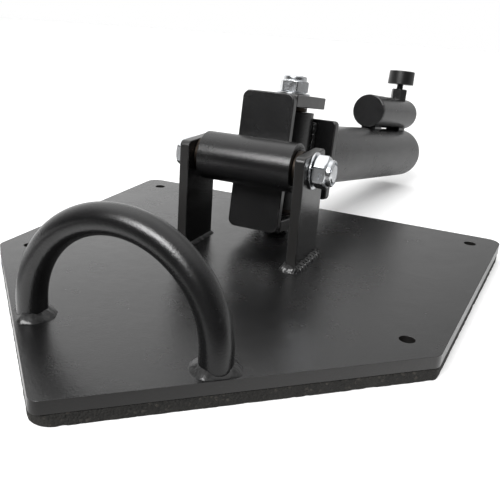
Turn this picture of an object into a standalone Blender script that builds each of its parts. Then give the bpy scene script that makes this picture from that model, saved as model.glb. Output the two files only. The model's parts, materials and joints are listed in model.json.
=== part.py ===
"""Barbell pivot base plate.

A five-sided steel plate on a rubber mat carries two uprights and a bent tube handle. A yoke turns on a
bolt through the uprights, and a sleeve for the end of a barbell swivels on a second bolt in the yoke.
The world's origin is on the floor, straight below the middle of the pivot bolt. +Y points towards the
barbell, +X to the right, +Z up. All sizes are in metres.
"""

import math

import bmesh
import bpy
from mathutils import Matrix, Vector

# Clearances
GAP = 0.0003
BOLT_CLEARANCE = 0.0003
EDGE_ROUNDING = 0.0006
CUTTER_OVERSHOOT = 0.004

# Smoothness of round pieces
LARGE_ROUND_STEPS = 48
SMALL_ROUND_STEPS = 32
HOLE_ROUND_STEPS = 20
HANDLE_ROUND_STEPS = 24
HANDLE_ARC_STEPS = 30
CORNER_STEPS = 5
QUARTER_STEPS = 3
BEAD_ROUND_STEPS = 8
WELD_RING_STATIONS = 32
WELD_LINE_STATIONS = 14
WELD_SHORT_STATIONS = 3
STANDOFF_STEPS = 6
SMOOTH_BELOW_DEGREES = 35
SOFTENED_ABOVE_DEGREES = 50

# How uneven a weld is, as shares of its own size
RIPPLE_SHORT = 0.09
RIPPLE_LONG = 0.05

# Base plate and mat
PLATE_THICKNESS = 0.0086
MAT_THICKNESS = 0.0086
MAT_INSET = 0.0005
PLATE_BACK_HALF_WIDTH = 0.1925
PLATE_SHOULDER_HALF_WIDTH = 0.1815
PLATE_BACK_Y = 0.164
PLATE_SHOULDER_Y = -0.104
PLATE_POINT_Y = -0.2775
BACK_CORNER_RADIUS = 0.012
SHOULDER_CORNER_RADIUS = 0.009
POINT_CORNER_RADIUS = 0.007
MAT_POINT_CORNER_RADIUS = 0.014
FIXING_HOLE_RADIUS = 0.0053
FIXING_HOLE_FROM_SIDE = 0.0240
FIXING_HOLE_FROM_BACK = 0.0257
FIXING_HOLE_FROM_SHOULDER = 0.0113

# Uprights
UPRIGHT_THICKNESS = 0.0085
UPRIGHT_DEPTH = 0.050
UPRIGHT_CENTRE_Y = 0.0015
UPRIGHT_ABOVE_PIVOT = 0.014
UPRIGHT_TOP_RADIUS = 0.0045
UPRIGHT_WELD_LEG = 0.0058

# Carrying handle
HANDLE_TUBE_TO_PLATE_EDGE = 0.0026
HANDLE_HALF_SPAN = 0.0685
HANDLE_TUBE_RADIUS = 0.0106
HANDLE_LEG_HEIGHT = 0.0101
HANDLE_WELD_LEG = 0.0065
HANDLE_WELD_EDGE_MARGIN = 0.0006

# Bolts, washers and lock nuts, one size for both pivots
BOLT_RADIUS = 0.008
BOLT_END_CHAMFER = 0.0014
BOLT_END_STANDS_OUT = 0.0003
HEX_FLAT_WIDTH = 0.024
PIVOT_HEAD_HEIGHT = 0.010
WASHER_RADIUS = 0.015
WASHER_THICKNESS = 0.0015
NUT_HEX_HEIGHT = 0.0108
NUT_COLLAR_HEIGHT = 0.0040
NUT_COLLAR_WALL = 0.0009
NUT_COLLAR_ROUNDING = 0.0008
NUT_INSERT_THICKNESS = 0.0022
NUT_INSERT_WALL = 0.0012
SWIVEL_HEAD_RADIUS = 0.014
SWIVEL_HEAD_HEIGHT = 0.006
SWIVEL_HEAD_RIM_HEIGHT = 0.0015
SWIVEL_HEAD_FLAT_RADIUS = 0.008

# Flanged bushes, one pair in each pivot
BUSH_WALL = 0.0025
BUSH_LENGTH = 0.018
BUSH_FLANGE_RADIUS = 0.0145
PIVOT_FLANGE_THICKNESS = 0.0046
SWIVEL_FLANGE_THICKNESS = 0.0035

# Pivot and yoke
PIVOT_HEIGHT = 0.079
PIVOT_TUBE_RADIUS = 0.0202
PIVOT_TUBE_HALF_LENGTH = 0.0408
YOKE_HALF_WIDTH = 0.0232
YOKE_WALL = 0.008
YOKE_TOP = 0.058
YOKE_BOTTOM = 0.0605
YOKE_CORNER_RADIUS = 0.0065
YOKE_ARM_THICKNESS = 0.0105
YOKE_ARM_CORNER_RADIUS = 0.002
YOKE_ARM_PAST_SWIVEL = 0.0275
SWIVEL_FROM_YOKE = 0.0525
YOKE_BEAD_RADIUS = 0.003
YOKE_WELD_FROM_SIDE = 0.002
YOKE_CORNER_WELD_LEG = 0.005

# Swivel and barbell sleeve
REST_YAW = 6.4
SWIVEL_TUBE_RADIUS = 0.0212
SWIVEL_BEAD_RADIUS = 0.003
BACK_PLATE_PAST_SLEEVE = 0.0068
BACK_PLATE_THICKNESS = 0.008
BACK_PLATE_CORNER_RADIUS = 0.004
SLEEVE_CENTRE_HEIGHT = 0.0016
SLEEVE_RADIUS = 0.030
SLEEVE_BORE_RADIUS = 0.026
SLEEVE_LENGTH = 0.302
SLEEVE_WELD_LEG = 0.005

# Small sleeve and clamping screw
SMALL_SLEEVE_RADIUS = 0.0187
SMALL_SLEEVE_BORE_RADIUS = 0.0153
SMALL_SLEEVE_LENGTH = 0.1287
SMALL_SLEEVE_LIFT = 0.0010
SMALL_SLEEVE_SHORT_OF_END = 0.0021
SMALL_CAP_THICKNESS = 0.003
STANDOFF_LENGTH = 0.023
STANDOFF_WIDTH = 0.017
STANDOFF_FROM_END = 0.008
BOSS_FLAT_WIDTH = 0.017
BOSS_HEIGHT = 0.0122
BOSS_FROM_END = 0.0283
STEM_RADIUS = 0.004
STEM_INTO_BORE = 0.003
KNOB_RADIUS = 0.0157
KNOB_HEIGHT = 0.0163
KNOB_LIFT = 0.0059
KNOB_ROUNDING = 0.0022
STEM_INTO_KNOB = 0.010

# Heights and places that follow from the sizes above
PLATE_BOTTOM_Z = MAT_THICKNESS + GAP
PLATE_TOP_Z = PLATE_BOTTOM_Z + PLATE_THICKNESS
PIVOT_Z = PLATE_TOP_Z + PIVOT_HEIGHT
PIVOT_FLANGE_X = PIVOT_TUBE_HALF_LENGTH + GAP
UPRIGHT_INNER_X = PIVOT_FLANGE_X + PIVOT_FLANGE_THICKNESS + GAP
UPRIGHT_OUTER_X = UPRIGHT_INNER_X + UPRIGHT_THICKNESS
BORE_RADIUS = BOLT_RADIUS + BOLT_CLEARANCE
BUSH_RADIUS = BORE_RADIUS + BUSH_WALL
TUBE_BORE_RADIUS = BUSH_RADIUS + GAP
INSERT_RADIUS = BORE_RADIUS + NUT_INSERT_WALL
NUT_COLLAR_RADIUS = INSERT_RADIUS + GAP + NUT_COLLAR_WALL
NUT_HEIGHT = NUT_HEX_HEIGHT + NUT_COLLAR_HEIGHT
YOKE_FRONT_Y = PIVOT_TUBE_RADIUS + GAP
YOKE_BACK_Y = YOKE_FRONT_Y + YOKE_WALL
SWIVEL_Y = YOKE_BACK_Y + SWIVEL_FROM_YOKE
ARM_END_Y = SWIVEL_Y + YOKE_ARM_PAST_SWIVEL
TOP_ARM_UNDERSIDE = YOKE_TOP - YOKE_ARM_THICKNESS
BOTTOM_ARM_TOP = YOKE_ARM_THICKNESS - YOKE_BOTTOM
BACK_PLATE_FRONT = SWIVEL_TUBE_RADIUS + GAP
BACK_PLATE_HALF_SIZE = SLEEVE_RADIUS + BACK_PLATE_PAST_SLEEVE
SLEEVE_START = BACK_PLATE_FRONT + BACK_PLATE_THICKNESS + GAP
SLEEVE_END = SLEEVE_START + SLEEVE_LENGTH
SMALL_SLEEVE_END = SLEEVE_END - SMALL_SLEEVE_SHORT_OF_END
SMALL_SLEEVE_START = SMALL_SLEEVE_END - SMALL_SLEEVE_LENGTH
SMALL_SLEEVE_HEIGHT = SLEEVE_CENTRE_HEIGHT + SLEEVE_RADIUS + SMALL_SLEEVE_LIFT + SMALL_SLEEVE_RADIUS
SCREW_Y = SMALL_SLEEVE_END - BOSS_FROM_END
BOSS_TOP = SMALL_SLEEVE_RADIUS + BOSS_HEIGHT
SCREW_HOLE_RADIUS = STEM_RADIUS + BOLT_CLEARANCE

# Colour, roughness and metallic value of each finish
FINISHES = {
    "black_coat": ((0.020, 0.020, 0.021), 0.45, 0.0),
    "rubber": ((0.025, 0.024, 0.022), 0.9, 0.0),
    "zinc": ((0.72, 0.74, 0.77), 0.28, 1.0),
    "bronze": ((0.36, 0.24, 0.13), 0.4, 1.0),
    "nylon": ((0.72, 0.74, 0.76), 0.5, 0.0),
    "dark_steel": ((0.08, 0.08, 0.085), 0.4, 1.0),
    "black_plastic": ((0.018, 0.018, 0.018), 0.4, 0.0),
}

# Turns an object made along Z so that it lies along +X, -X or +Y
ALONG_PLUS_X = (0.0, math.radians(90), 0.0)
ALONG_MINUS_X = (0.0, math.radians(-90), 0.0)
ALONG_PLUS_Y = (math.radians(-90), 0.0, 0.0)
# Stands an outline drawn in XY on edge, facing along X or along -Y
FACING_X = (math.radians(90), 0.0, math.radians(90))
FACING_MINUS_Y = (math.radians(90), 0.0, 0.0)


def clear_scene():
    for old in list(bpy.data.objects):
        bpy.data.objects.remove(old, do_unlink=True)


def finish_material(slot):
    """The material of one finish, made once."""
    known = bpy.data.materials.get(slot)
    if known:
        return known
    colour, roughness, metallic = FINISHES[slot]
    made = bpy.data.materials.new(slot)
    made.use_nodes = True
    shader = made.node_tree.nodes["Principled BSDF"]
    shader.inputs["Base Color"].default_value = (*colour, 1.0)
    shader.inputs["Roughness"].default_value = roughness
    shader.inputs["Metallic"].default_value = metallic
    return made


def put_in_scene(name, shape, slot=None, parent=None, location=(0, 0, 0), rotation=(0, 0, 0), smooth=False):
    """Turns a finished bmesh into a named object."""
    bmesh.ops.recalc_face_normals(shape, faces=shape.faces)
    mesh = bpy.data.meshes.new(name)
    shape.to_mesh(mesh)
    shape.free()
    if smooth:
        mesh.shade_smooth()
        mesh.set_sharp_from_angle(angle=math.radians(SMOOTH_BELOW_DEGREES))
    if slot:
        mesh.materials.append(finish_material(slot))
    made = bpy.data.objects.new(name, mesh)
    bpy.context.scene.collection.objects.link(made)
    made.parent = parent
    made.location = location
    made.rotation_euler = rotation
    return made


def axis_empty(name, location, rotation=(0, 0, 0), parent=None):
    """An empty that stands on a joint's axis."""
    made = bpy.data.objects.new(name, None)
    bpy.context.scene.collection.objects.link(made)
    made.parent = parent
    made.location = location
    made.rotation_euler = rotation
    return made


def turned_shape(profile, steps):
    """A closed profile of (radius, height) points turned about Z."""
    shape = bmesh.new()
    corners = [shape.verts.new((radius, 0.0, height)) for radius, height in profile]
    edges = [shape.edges.new(pair) for pair in zip(corners, corners[1:])]
    if profile[0][0] > 0 or profile[-1][0] > 0:
        edges.append(shape.edges.new((corners[-1], corners[0])))
    bmesh.ops.spin(shape, geom=corners + edges, cent=(0, 0, 0), axis=(0, 0, 1), angle=math.tau,
                   steps=steps, use_merge=True, use_duplicate=False)
    bmesh.ops.remove_doubles(shape, verts=shape.verts, dist=1e-6)
    return shape


def ring_profile(inner, outer, low, high):
    return [(inner, low), (outer, low), (outer, high), (inner, high)]


def rounded_outline(corners):
    """Points of a convex polygon, given anticlockwise as (x, y, radius), with each corner an arc."""
    points = []
    for index, (x, y, radius) in enumerate(corners):
        here = Vector((x, y))
        before = Vector(corners[index - 1][:2]) - here
        after = Vector(corners[(index + 1) % len(corners)][:2]) - here
        before.normalize()
        after.normalize()
        half = before.angle(after) / 2
        centre = here + (before + after).normalized() * radius / math.sin(half)
        first = here + before * radius / math.tan(half) - centre
        sweep = math.pi - 2 * half
        for step in range(CORNER_STEPS + 1):
            turn = Matrix.Rotation(sweep * step / CORNER_STEPS, 2)
            points.append(centre + turn @ first)
    return points


def slab_shape(outline, thickness):
    """An outline in XY, raised from 0 to its thickness."""
    shape = bmesh.new()
    face = shape.faces.new([shape.verts.new((x, y, 0.0)) for x, y in outline])
    raised = bmesh.ops.extrude_face_region(shape, geom=[face])
    top = [item for item in raised["geom"] if isinstance(item, bmesh.types.BMVert)]
    bmesh.ops.translate(shape, verts=top, vec=(0, 0, thickness))
    return shape


def swept_shape(rings, closed):
    """Joins rings of points into one skin, capped at both ends unless it closes on itself."""
    shape = bmesh.new()
    loops = [[shape.verts.new(point) for point in ring] for ring in rings]
    pairs = list(zip(loops, loops[1:]))
    if closed:
        pairs.append((loops[-1], loops[0]))
    else:
        shape.faces.new(loops[0])
        shape.faces.new(loops[-1])
    for here, there in pairs:
        for index in range(len(here)):
            after = (index + 1) % len(here)
            shape.faces.new((here[index], here[after], there[after], there[index]))
    return shape


def soften_edges(target, width=EDGE_ROUNDING):
    bevel = target.modifiers.new("soft_edges", "BEVEL")
    bevel.width = width
    bevel.segments = 1
    bevel.limit_method = "ANGLE"
    bevel.angle_limit = math.radians(SOFTENED_ABOVE_DEGREES)


def combine(target, shape, operation, rotation=(0, 0, 0), location=(0, 0, 0)):
    """Adds a Boolean modifier whose other shape is given in the target's own frame."""
    label = f"{target.name}_{operation.lower()}_{len(target.modifiers)}"
    other = put_in_scene(label, shape, parent=target, location=location, rotation=rotation)
    other.hide_render = True
    other.display_type = "WIRE"
    modifier = target.modifiers.new(label, "BOOLEAN")
    modifier.operation = operation
    modifier.solver = "EXACT"
    modifier.object = other


def drill(target, radius, low, high, location=(0, 0, 0), rotation=(0, 0, 0), steps=SMALL_ROUND_STEPS):
    """Cuts a round hole along the target's Z, from low to high."""
    cutter = turned_shape([(0, low), (radius, low), (radius, high), (0, high)], steps)
    combine(target, cutter, "DIFFERENCE", rotation, location)


def hexagon_shape(flat_width, low, high):
    """An upright six-sided prism with two of its flats facing along Y."""
    corner = flat_width / math.sqrt(3)
    points = [(corner * math.cos(math.radians(60 * k)), corner * math.sin(math.radians(60 * k)))
              for k in range(6)]
    shape = slab_shape(points, high - low)
    bmesh.ops.translate(shape, verts=shape.verts, vec=(0, 0, low))
    return shape


def chamfer_limit(flat_width, low, high, both_ends):
    """The turned shape that rounds a hexagon's corners off at its end faces."""
    flat = flat_width / 2
    corner = flat_width / math.sqrt(3) + GAP
    drop = (corner - flat) * math.tan(math.radians(30))
    profile = [(0, low)]
    profile += [(flat, low), (corner, low + drop)] if both_ends else [(corner, low)]
    profile += [(corner, high - drop), (flat, high), (0, high)]
    return turned_shape(profile, SMALL_ROUND_STEPS)


def plate_outline(inset=0.0, point_radius=POINT_CORNER_RADIUS):
    """The five-sided outline, anticlockwise from the front point, moved inwards by the inset."""
    point_y = PLATE_POINT_Y + inset
    shoulder_x = PLATE_SHOULDER_HALF_WIDTH - inset
    back_x = PLATE_BACK_HALF_WIDTH - inset
    back_y = PLATE_BACK_Y - inset
    return rounded_outline([
        (0.0, point_y, point_radius),
        (shoulder_x, PLATE_SHOULDER_Y, SHOULDER_CORNER_RADIUS),
        (back_x, back_y, BACK_CORNER_RADIUS),
        (-back_x, back_y, BACK_CORNER_RADIUS),
        (-shoulder_x, PLATE_SHOULDER_Y, SHOULDER_CORNER_RADIUS),
    ])


def side_half_width(y):
    """Half the plate's width between its shoulders and its back edge."""
    along = (y - PLATE_SHOULDER_Y) / (PLATE_BACK_Y - PLATE_SHOULDER_Y)
    return PLATE_SHOULDER_HALF_WIDTH + along * (PLATE_BACK_HALF_WIDTH - PLATE_SHOULDER_HALF_WIDTH)


def fixing_hole_places():
    places = []
    for y in (PLATE_BACK_Y - FIXING_HOLE_FROM_BACK, PLATE_SHOULDER_Y + FIXING_HOLE_FROM_SHOULDER):
        x = side_half_width(y) - FIXING_HOLE_FROM_SIDE
        places += [(-x, y), (x, y)]
    return places


def drill_fixing_holes(target, thickness):
    for x, y in fixing_hole_places():
        drill(target, FIXING_HOLE_RADIUS, -CUTTER_OVERSHOOT, thickness + CUTTER_OVERSHOOT, (x, y, 0),
              steps=HOLE_ROUND_STEPS)


def base_plate():
    made = put_in_scene("base_plate", slab_shape(plate_outline(), PLATE_THICKNESS), "black_coat",
                        location=(0, 0, PLATE_BOTTOM_Z))
    soften_edges(made)
    drill_fixing_holes(made, PLATE_THICKNESS)


def rubber_mat():
    outline = plate_outline(MAT_INSET, MAT_POINT_CORNER_RADIUS)
    made = put_in_scene("rubber_mat", slab_shape(outline, MAT_THICKNESS), "rubber")
    drill_fixing_holes(made, MAT_THICKNESS)


def uprights():
    """Two flat bars on edge, bored for the pivot bolt."""
    height = PIVOT_HEIGHT + UPRIGHT_ABOVE_PIVOT - GAP
    back = UPRIGHT_DEPTH / 2
    sharp = EDGE_ROUNDING
    outline = rounded_outline([
        (-back, 0.0, sharp),
        (back, 0.0, sharp),
        (back, height, UPRIGHT_TOP_RADIUS),
        (-back, height, UPRIGHT_TOP_RADIUS),
    ])
    for name, inner_side_x in (("left_upright", -UPRIGHT_OUTER_X), ("right_upright", UPRIGHT_INNER_X)):
        made = put_in_scene(name, slab_shape(outline, UPRIGHT_THICKNESS), "black_coat",
                            location=(inner_side_x, UPRIGHT_CENTRE_Y, PLATE_TOP_Z + GAP), rotation=FACING_X)
        soften_edges(made)
        drill(made, BORE_RADIUS, -CUTTER_OVERSHOOT, UPRIGHT_THICKNESS + CUTTER_OVERSHOOT,
              (-UPRIGHT_CENTRE_Y, PIVOT_HEIGHT - GAP, 0))


def fillet_ring(corner, outward, upward, leg):
    """One cross-section of a fillet weld that fills the corner between a wall and a floor."""
    start = corner + (outward + upward) * GAP
    ring = [start]
    for step in range(QUARTER_STEPS + 1):
        angle = math.pi / 2 * step / QUARTER_STEPS
        ring.append(start + outward * leg * math.cos(angle) + upward * leg * math.sin(angle))
    return ring


def rippled(leg, station):
    """A hand-made weld is a little uneven from one drop to the next."""
    short = RIPPLE_SHORT * math.sin(2.1 * station)
    long = RIPPLE_LONG * math.sin(0.77 * station + 1.0)
    return leg * (1.0 + short + long)


def upright_foot_weld(centre_x):
    """A weld all the way round one upright's foot, turning at the four corners."""
    half_x = UPRIGHT_THICKNESS / 2
    half_y = UPRIGHT_DEPTH / 2
    up = Vector((0, 0, 1))
    middle = Vector((centre_x, UPRIGHT_CENTRE_Y, PLATE_TOP_Z))
    corners = [Vector(place) for place in ((half_x, -half_y, 0), (half_x, half_y, 0),
                                           (-half_x, half_y, 0), (-half_x, -half_y, 0))]
    rings = []
    for side, start in enumerate(corners):
        end = corners[(side + 1) % len(corners)]
        steps = WELD_SHORT_STATIONS if side % 2 else WELD_LINE_STATIONS
        facing = math.pi / 2 * side
        for step in range(steps + 1):
            outward = Vector((math.cos(facing), math.sin(facing), 0))
            leg = rippled(UPRIGHT_WELD_LEG, len(rings))
            rings.append(fillet_ring(middle + start.lerp(end, step / steps), outward, up, leg))
        for step in range(1, QUARTER_STEPS):
            angle = facing + math.pi / 2 * step / QUARTER_STEPS
            outward = Vector((math.cos(angle), math.sin(angle), 0))
            rings.append(fillet_ring(middle + end, outward, up, UPRIGHT_WELD_LEG))
    return swept_shape(rings, closed=True)


def upright_welds():
    centre = UPRIGHT_INNER_X + UPRIGHT_THICKNESS / 2
    put_in_scene("left_upright_weld", upright_foot_weld(-centre), "black_coat", smooth=True)
    put_in_scene("right_upright_weld", upright_foot_weld(centre), "black_coat", smooth=True)


def circle_points(centre, across, along, radius, steps):
    return [centre + across * radius * math.cos(math.tau * k / steps)
            + along * radius * math.sin(math.tau * k / steps) for k in range(steps)]


def front_edge():
    """One slanting front edge of the plate, from its point to its shoulder."""
    return Vector((PLATE_SHOULDER_HALF_WIDTH, PLATE_SHOULDER_Y - PLATE_POINT_Y))


def handle_y():
    """Where the handle stands so that its tubes keep their distance to the plate's slanting edges."""
    edge = front_edge()
    from_edge = HANDLE_TUBE_RADIUS + HANDLE_TUBE_TO_PLATE_EDGE
    return PLATE_POINT_Y + (from_edge * edge.length + HANDLE_HALF_SPAN * edge.y) / edge.x


def carry_handle():
    """Straight legs, then half a circle over the top, all in one upright plane."""
    y = handle_y()
    arc_centre = Vector((0, y, PLATE_TOP_Z + HANDLE_LEG_HEIGHT))
    foot_z = PLATE_TOP_Z + GAP
    stations = [(Vector((-HANDLE_HALF_SPAN, y, foot_z)), Vector((-1, 0, 0)))]
    for step in range(HANDLE_ARC_STEPS + 1):
        angle = math.pi * (1 - step / HANDLE_ARC_STEPS)
        outward = Vector((math.cos(angle), 0, math.sin(angle)))
        stations.append((arc_centre + outward * HANDLE_HALF_SPAN, outward))
    stations.append((Vector((HANDLE_HALF_SPAN, y, foot_z)), Vector((1, 0, 0))))
    side = Vector((0, 1, 0))
    rings = [circle_points(place, outward, side, HANDLE_TUBE_RADIUS, HANDLE_ROUND_STEPS)
             for place, outward in stations]
    put_in_scene("carry_handle", swept_shape(rings, closed=False), "black_coat", smooth=True)


def handle_foot_weld(side):
    """A ring of weld, thinner where the plate's edge comes close to the tube."""
    edge = front_edge().normalized()
    facing = Vector((edge.y * side, -edge.x, 0))
    to_edge = HANDLE_TUBE_RADIUS + HANDLE_TUBE_TO_PLATE_EDGE - HANDLE_WELD_EDGE_MARGIN
    centre = Vector((side * HANDLE_HALF_SPAN, handle_y(), PLATE_TOP_Z))
    rings = []
    for station in range(WELD_RING_STATIONS):
        angle = math.tau * station / WELD_RING_STATIONS
        outward = Vector((math.cos(angle), math.sin(angle), 0))
        leg = rippled(HANDLE_WELD_LEG, station)
        towards_edge = outward.dot(facing)
        if towards_edge > 0:
            leg = min(leg, to_edge / towards_edge - HANDLE_TUBE_RADIUS - GAP)
        rings.append(fillet_ring(centre + outward * HANDLE_TUBE_RADIUS, outward, Vector((0, 0, 1)), leg))
    return swept_shape(rings, closed=True)


def handle_welds():
    put_in_scene("left_handle_weld", handle_foot_weld(-1), "black_coat", smooth=True)
    put_in_scene("right_handle_weld", handle_foot_weld(1), "black_coat", smooth=True)


def pivot_bolt():
    """Hexagon head outside the left upright, shank through to the lock nut on the right."""
    shank_length = (GAP + 2 * UPRIGHT_OUTER_X + GAP + WASHER_THICKNESS + GAP + NUT_HEIGHT
                    + BOLT_END_STANDS_OUT)
    under_head_x = -UPRIGHT_OUTER_X - GAP
    head = hexagon_shape(HEX_FLAT_WIDTH, -PIVOT_HEAD_HEIGHT, 0.0)
    made = put_in_scene("pivot_bolt", head, "zinc", location=(under_head_x, 0, PIVOT_Z),
                        rotation=ALONG_PLUS_X, smooth=True)
    limit = chamfer_limit(HEX_FLAT_WIDTH, -PIVOT_HEAD_HEIGHT, PIVOT_HEAD_HEIGHT, both_ends=True)
    combine(made, limit, "INTERSECT")
    thin_end = BOLT_RADIUS - BOLT_END_CHAMFER
    inside_head = -PIVOT_HEAD_HEIGHT / 2
    shank = [(0, inside_head), (BOLT_RADIUS, inside_head), (BOLT_RADIUS, shank_length - BOLT_END_CHAMFER),
             (thin_end, shank_length), (0, shank_length)]
    combine(made, turned_shape(shank, SMALL_ROUND_STEPS), "UNION")


def washer(name, parent, location, rotation):
    profile = ring_profile(BORE_RADIUS, WASHER_RADIUS, 0.0, WASHER_THICKNESS)
    put_in_scene(name, turned_shape(profile, SMALL_ROUND_STEPS), "zinc",
                 parent, location, rotation, smooth=True)


def lock_nut(name, parent, location, rotation):
    """A hexagon with a round collar that holds a nylon ring, standing on Z = 0."""
    made = put_in_scene(name, hexagon_shape(HEX_FLAT_WIDTH, 0.0, NUT_HEX_HEIGHT), "zinc",
                        parent, location, rotation, smooth=True)
    combine(made, chamfer_limit(HEX_FLAT_WIDTH, 0.0, NUT_HEX_HEIGHT, both_ends=True), "INTERSECT")
    inside_hex = NUT_HEX_HEIGHT / 2
    collar = [(0, inside_hex), (NUT_COLLAR_RADIUS, inside_hex)]
    for step in range(QUARTER_STEPS + 1):
        angle = math.pi / 2 * step / QUARTER_STEPS
        collar.append((NUT_COLLAR_RADIUS - NUT_COLLAR_ROUNDING * (1 - math.cos(angle)),
                       NUT_HEIGHT - NUT_COLLAR_ROUNDING * (1 - math.sin(angle))))
    collar.append((0, NUT_HEIGHT))
    combine(made, turned_shape(collar, SMALL_ROUND_STEPS), "UNION")
    low = NUT_HEIGHT - NUT_INSERT_THICKNESS - GAP
    pocket = INSERT_RADIUS + GAP
    past_end = NUT_HEIGHT + CUTTER_OVERSHOOT
    hole = [(0, -CUTTER_OVERSHOOT), (BORE_RADIUS, -CUTTER_OVERSHOOT), (BORE_RADIUS, low), (pocket, low),
            (pocket, past_end), (0, past_end)]
    combine(made, turned_shape(hole, SMALL_ROUND_STEPS), "DIFFERENCE")
    ring = ring_profile(BORE_RADIUS, INSERT_RADIUS, low + GAP, low + NUT_INSERT_THICKNESS)
    put_in_scene(f"{name}_insert", turned_shape(ring, SMALL_ROUND_STEPS), "nylon",
                 parent, location, rotation, smooth=True)


def pivot_fasteners():
    washer_x = UPRIGHT_OUTER_X + GAP
    nut_x = washer_x + WASHER_THICKNESS + GAP
    washer("pivot_nut_washer", None, (washer_x, 0, PIVOT_Z), ALONG_PLUS_X)
    lock_nut("pivot_nut", None, (nut_x, 0, PIVOT_Z), ALONG_PLUS_X)


def flanged_bush(name, parent, location, rotation, flange_thickness):
    """The flange stands on Z = 0 and the barrel reaches down into the tube."""
    profile = [(BORE_RADIUS, -BUSH_LENGTH), (BUSH_RADIUS, -BUSH_LENGTH), (BUSH_RADIUS, 0.0),
               (BUSH_FLANGE_RADIUS, 0.0), (BUSH_FLANGE_RADIUS, flange_thickness),
               (BORE_RADIUS, flange_thickness)]
    put_in_scene(name, turned_shape(profile, SMALL_ROUND_STEPS), "bronze",
                 parent, location, rotation, smooth=True)


def open_tube(name, parent, outer, bore, length, location, rotation):
    """A tube along Z from 0 to its length, with a small chamfer at each outer rim."""
    rim = outer - EDGE_ROUNDING
    profile = [(bore, 0.0), (rim, 0.0), (outer, EDGE_ROUNDING), (outer, length - EDGE_ROUNDING),
               (rim, length), (bore, length)]
    return put_in_scene(name, turned_shape(profile, LARGE_ROUND_STEPS), "black_coat",
                        parent, location, rotation, smooth=True)


def pivot_tube_and_bushes(pivot):
    open_tube("pivot_tube", pivot, PIVOT_TUBE_RADIUS, TUBE_BORE_RADIUS, 2 * PIVOT_TUBE_HALF_LENGTH,
              (-PIVOT_TUBE_HALF_LENGTH, 0, 0), ALONG_PLUS_X)
    flanged_bush("pivot_bush_left", pivot, (-PIVOT_FLANGE_X, 0, 0), ALONG_MINUS_X, PIVOT_FLANGE_THICKNESS)
    flanged_bush("pivot_bush_right", pivot, (PIVOT_FLANGE_X, 0, 0), ALONG_PLUS_X, PIVOT_FLANGE_THICKNESS)


def yoke_face_plate(pivot):
    radius = YOKE_CORNER_RADIUS
    outline = rounded_outline([
        (-YOKE_HALF_WIDTH, -YOKE_BOTTOM, radius),
        (YOKE_HALF_WIDTH, -YOKE_BOTTOM, radius),
        (YOKE_HALF_WIDTH, YOKE_TOP, radius),
        (-YOKE_HALF_WIDTH, YOKE_TOP, radius),
    ])
    made = put_in_scene("yoke_face_plate", slab_shape(outline, YOKE_WALL), "black_coat", pivot,
                        (0, YOKE_BACK_Y, 0), FACING_MINUS_Y)
    soften_edges(made)


def yoke_arms(pivot):
    """Two flat bars behind the face plate, bored for the swivel bolt."""
    start_y = YOKE_BACK_Y + GAP
    radius = YOKE_ARM_CORNER_RADIUS
    outline = rounded_outline([
        (-YOKE_HALF_WIDTH, start_y, EDGE_ROUNDING),
        (YOKE_HALF_WIDTH, start_y, EDGE_ROUNDING),
        (YOKE_HALF_WIDTH, ARM_END_Y, radius),
        (-YOKE_HALF_WIDTH, ARM_END_Y, radius),
    ])
    for name, underside in (("yoke_top_arm", TOP_ARM_UNDERSIDE), ("yoke_bottom_arm", -YOKE_BOTTOM)):
        made = put_in_scene(name, slab_shape(outline, YOKE_ARM_THICKNESS), "black_coat",
                            pivot, (0, 0, underside))
        soften_edges(made)
        drill(made, BORE_RADIUS, -CUTTER_OVERSHOOT, YOKE_ARM_THICKNESS + CUTTER_OVERSHOOT, (0, SWIVEL_Y, 0))


def straight_bead(start, end, across, along, radius, steps):
    """A round weld bead between two points, slightly uneven along its length."""
    rings = []
    for station in range(steps + 1):
        place = start.lerp(end, station / steps)
        fits_groove = rippled(radius, station) / (1.0 + RIPPLE_SHORT + RIPPLE_LONG)
        rings.append(circle_points(place, across, along, fits_groove, BEAD_ROUND_STEPS))
    return swept_shape(rings, closed=False)


def groove_offset(tube_radius, bead_radius):
    """How far from a tube's axis plane a bead lies that touches both the tube and the plate behind it."""
    to_plate = tube_radius + GAP - (bead_radius + GAP)
    to_tube = tube_radius + GAP + bead_radius
    return math.sqrt(to_tube ** 2 - to_plate ** 2), to_plate


def yoke_welds(pivot):
    """Beads above and below the pivot tube, and fillets inside the two corners of the yoke."""
    offset, back = groove_offset(PIVOT_TUBE_RADIUS, YOKE_BEAD_RADIUS)
    reach = YOKE_HALF_WIDTH - YOKE_WELD_FROM_SIDE
    backwards = Vector((0, 1, 0))
    up = Vector((0, 0, 1))
    for name, height in (("lower_tube_weld", -offset), ("upper_tube_weld", offset)):
        bead = straight_bead(Vector((-reach, back, height)), Vector((reach, back, height)),
                             backwards, up, YOKE_BEAD_RADIUS, WELD_LINE_STATIONS)
        put_in_scene(name, bead, "black_coat", pivot, smooth=True)
    corners = (("top_arm_weld", TOP_ARM_UNDERSIDE, -up), ("bottom_arm_weld", BOTTOM_ARM_TOP, up))
    for name, height, upward in corners:
        start = Vector((-reach, YOKE_BACK_Y, height))
        end = Vector((reach, YOKE_BACK_Y, height))
        rings = [fillet_ring(start.lerp(end, station / WELD_LINE_STATIONS), backwards, upward,
                             rippled(YOKE_CORNER_WELD_LEG, station))
                 for station in range(WELD_LINE_STATIONS + 1)]
        put_in_scene(name, swept_shape(rings, closed=False), "black_coat", pivot, smooth=True)


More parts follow.
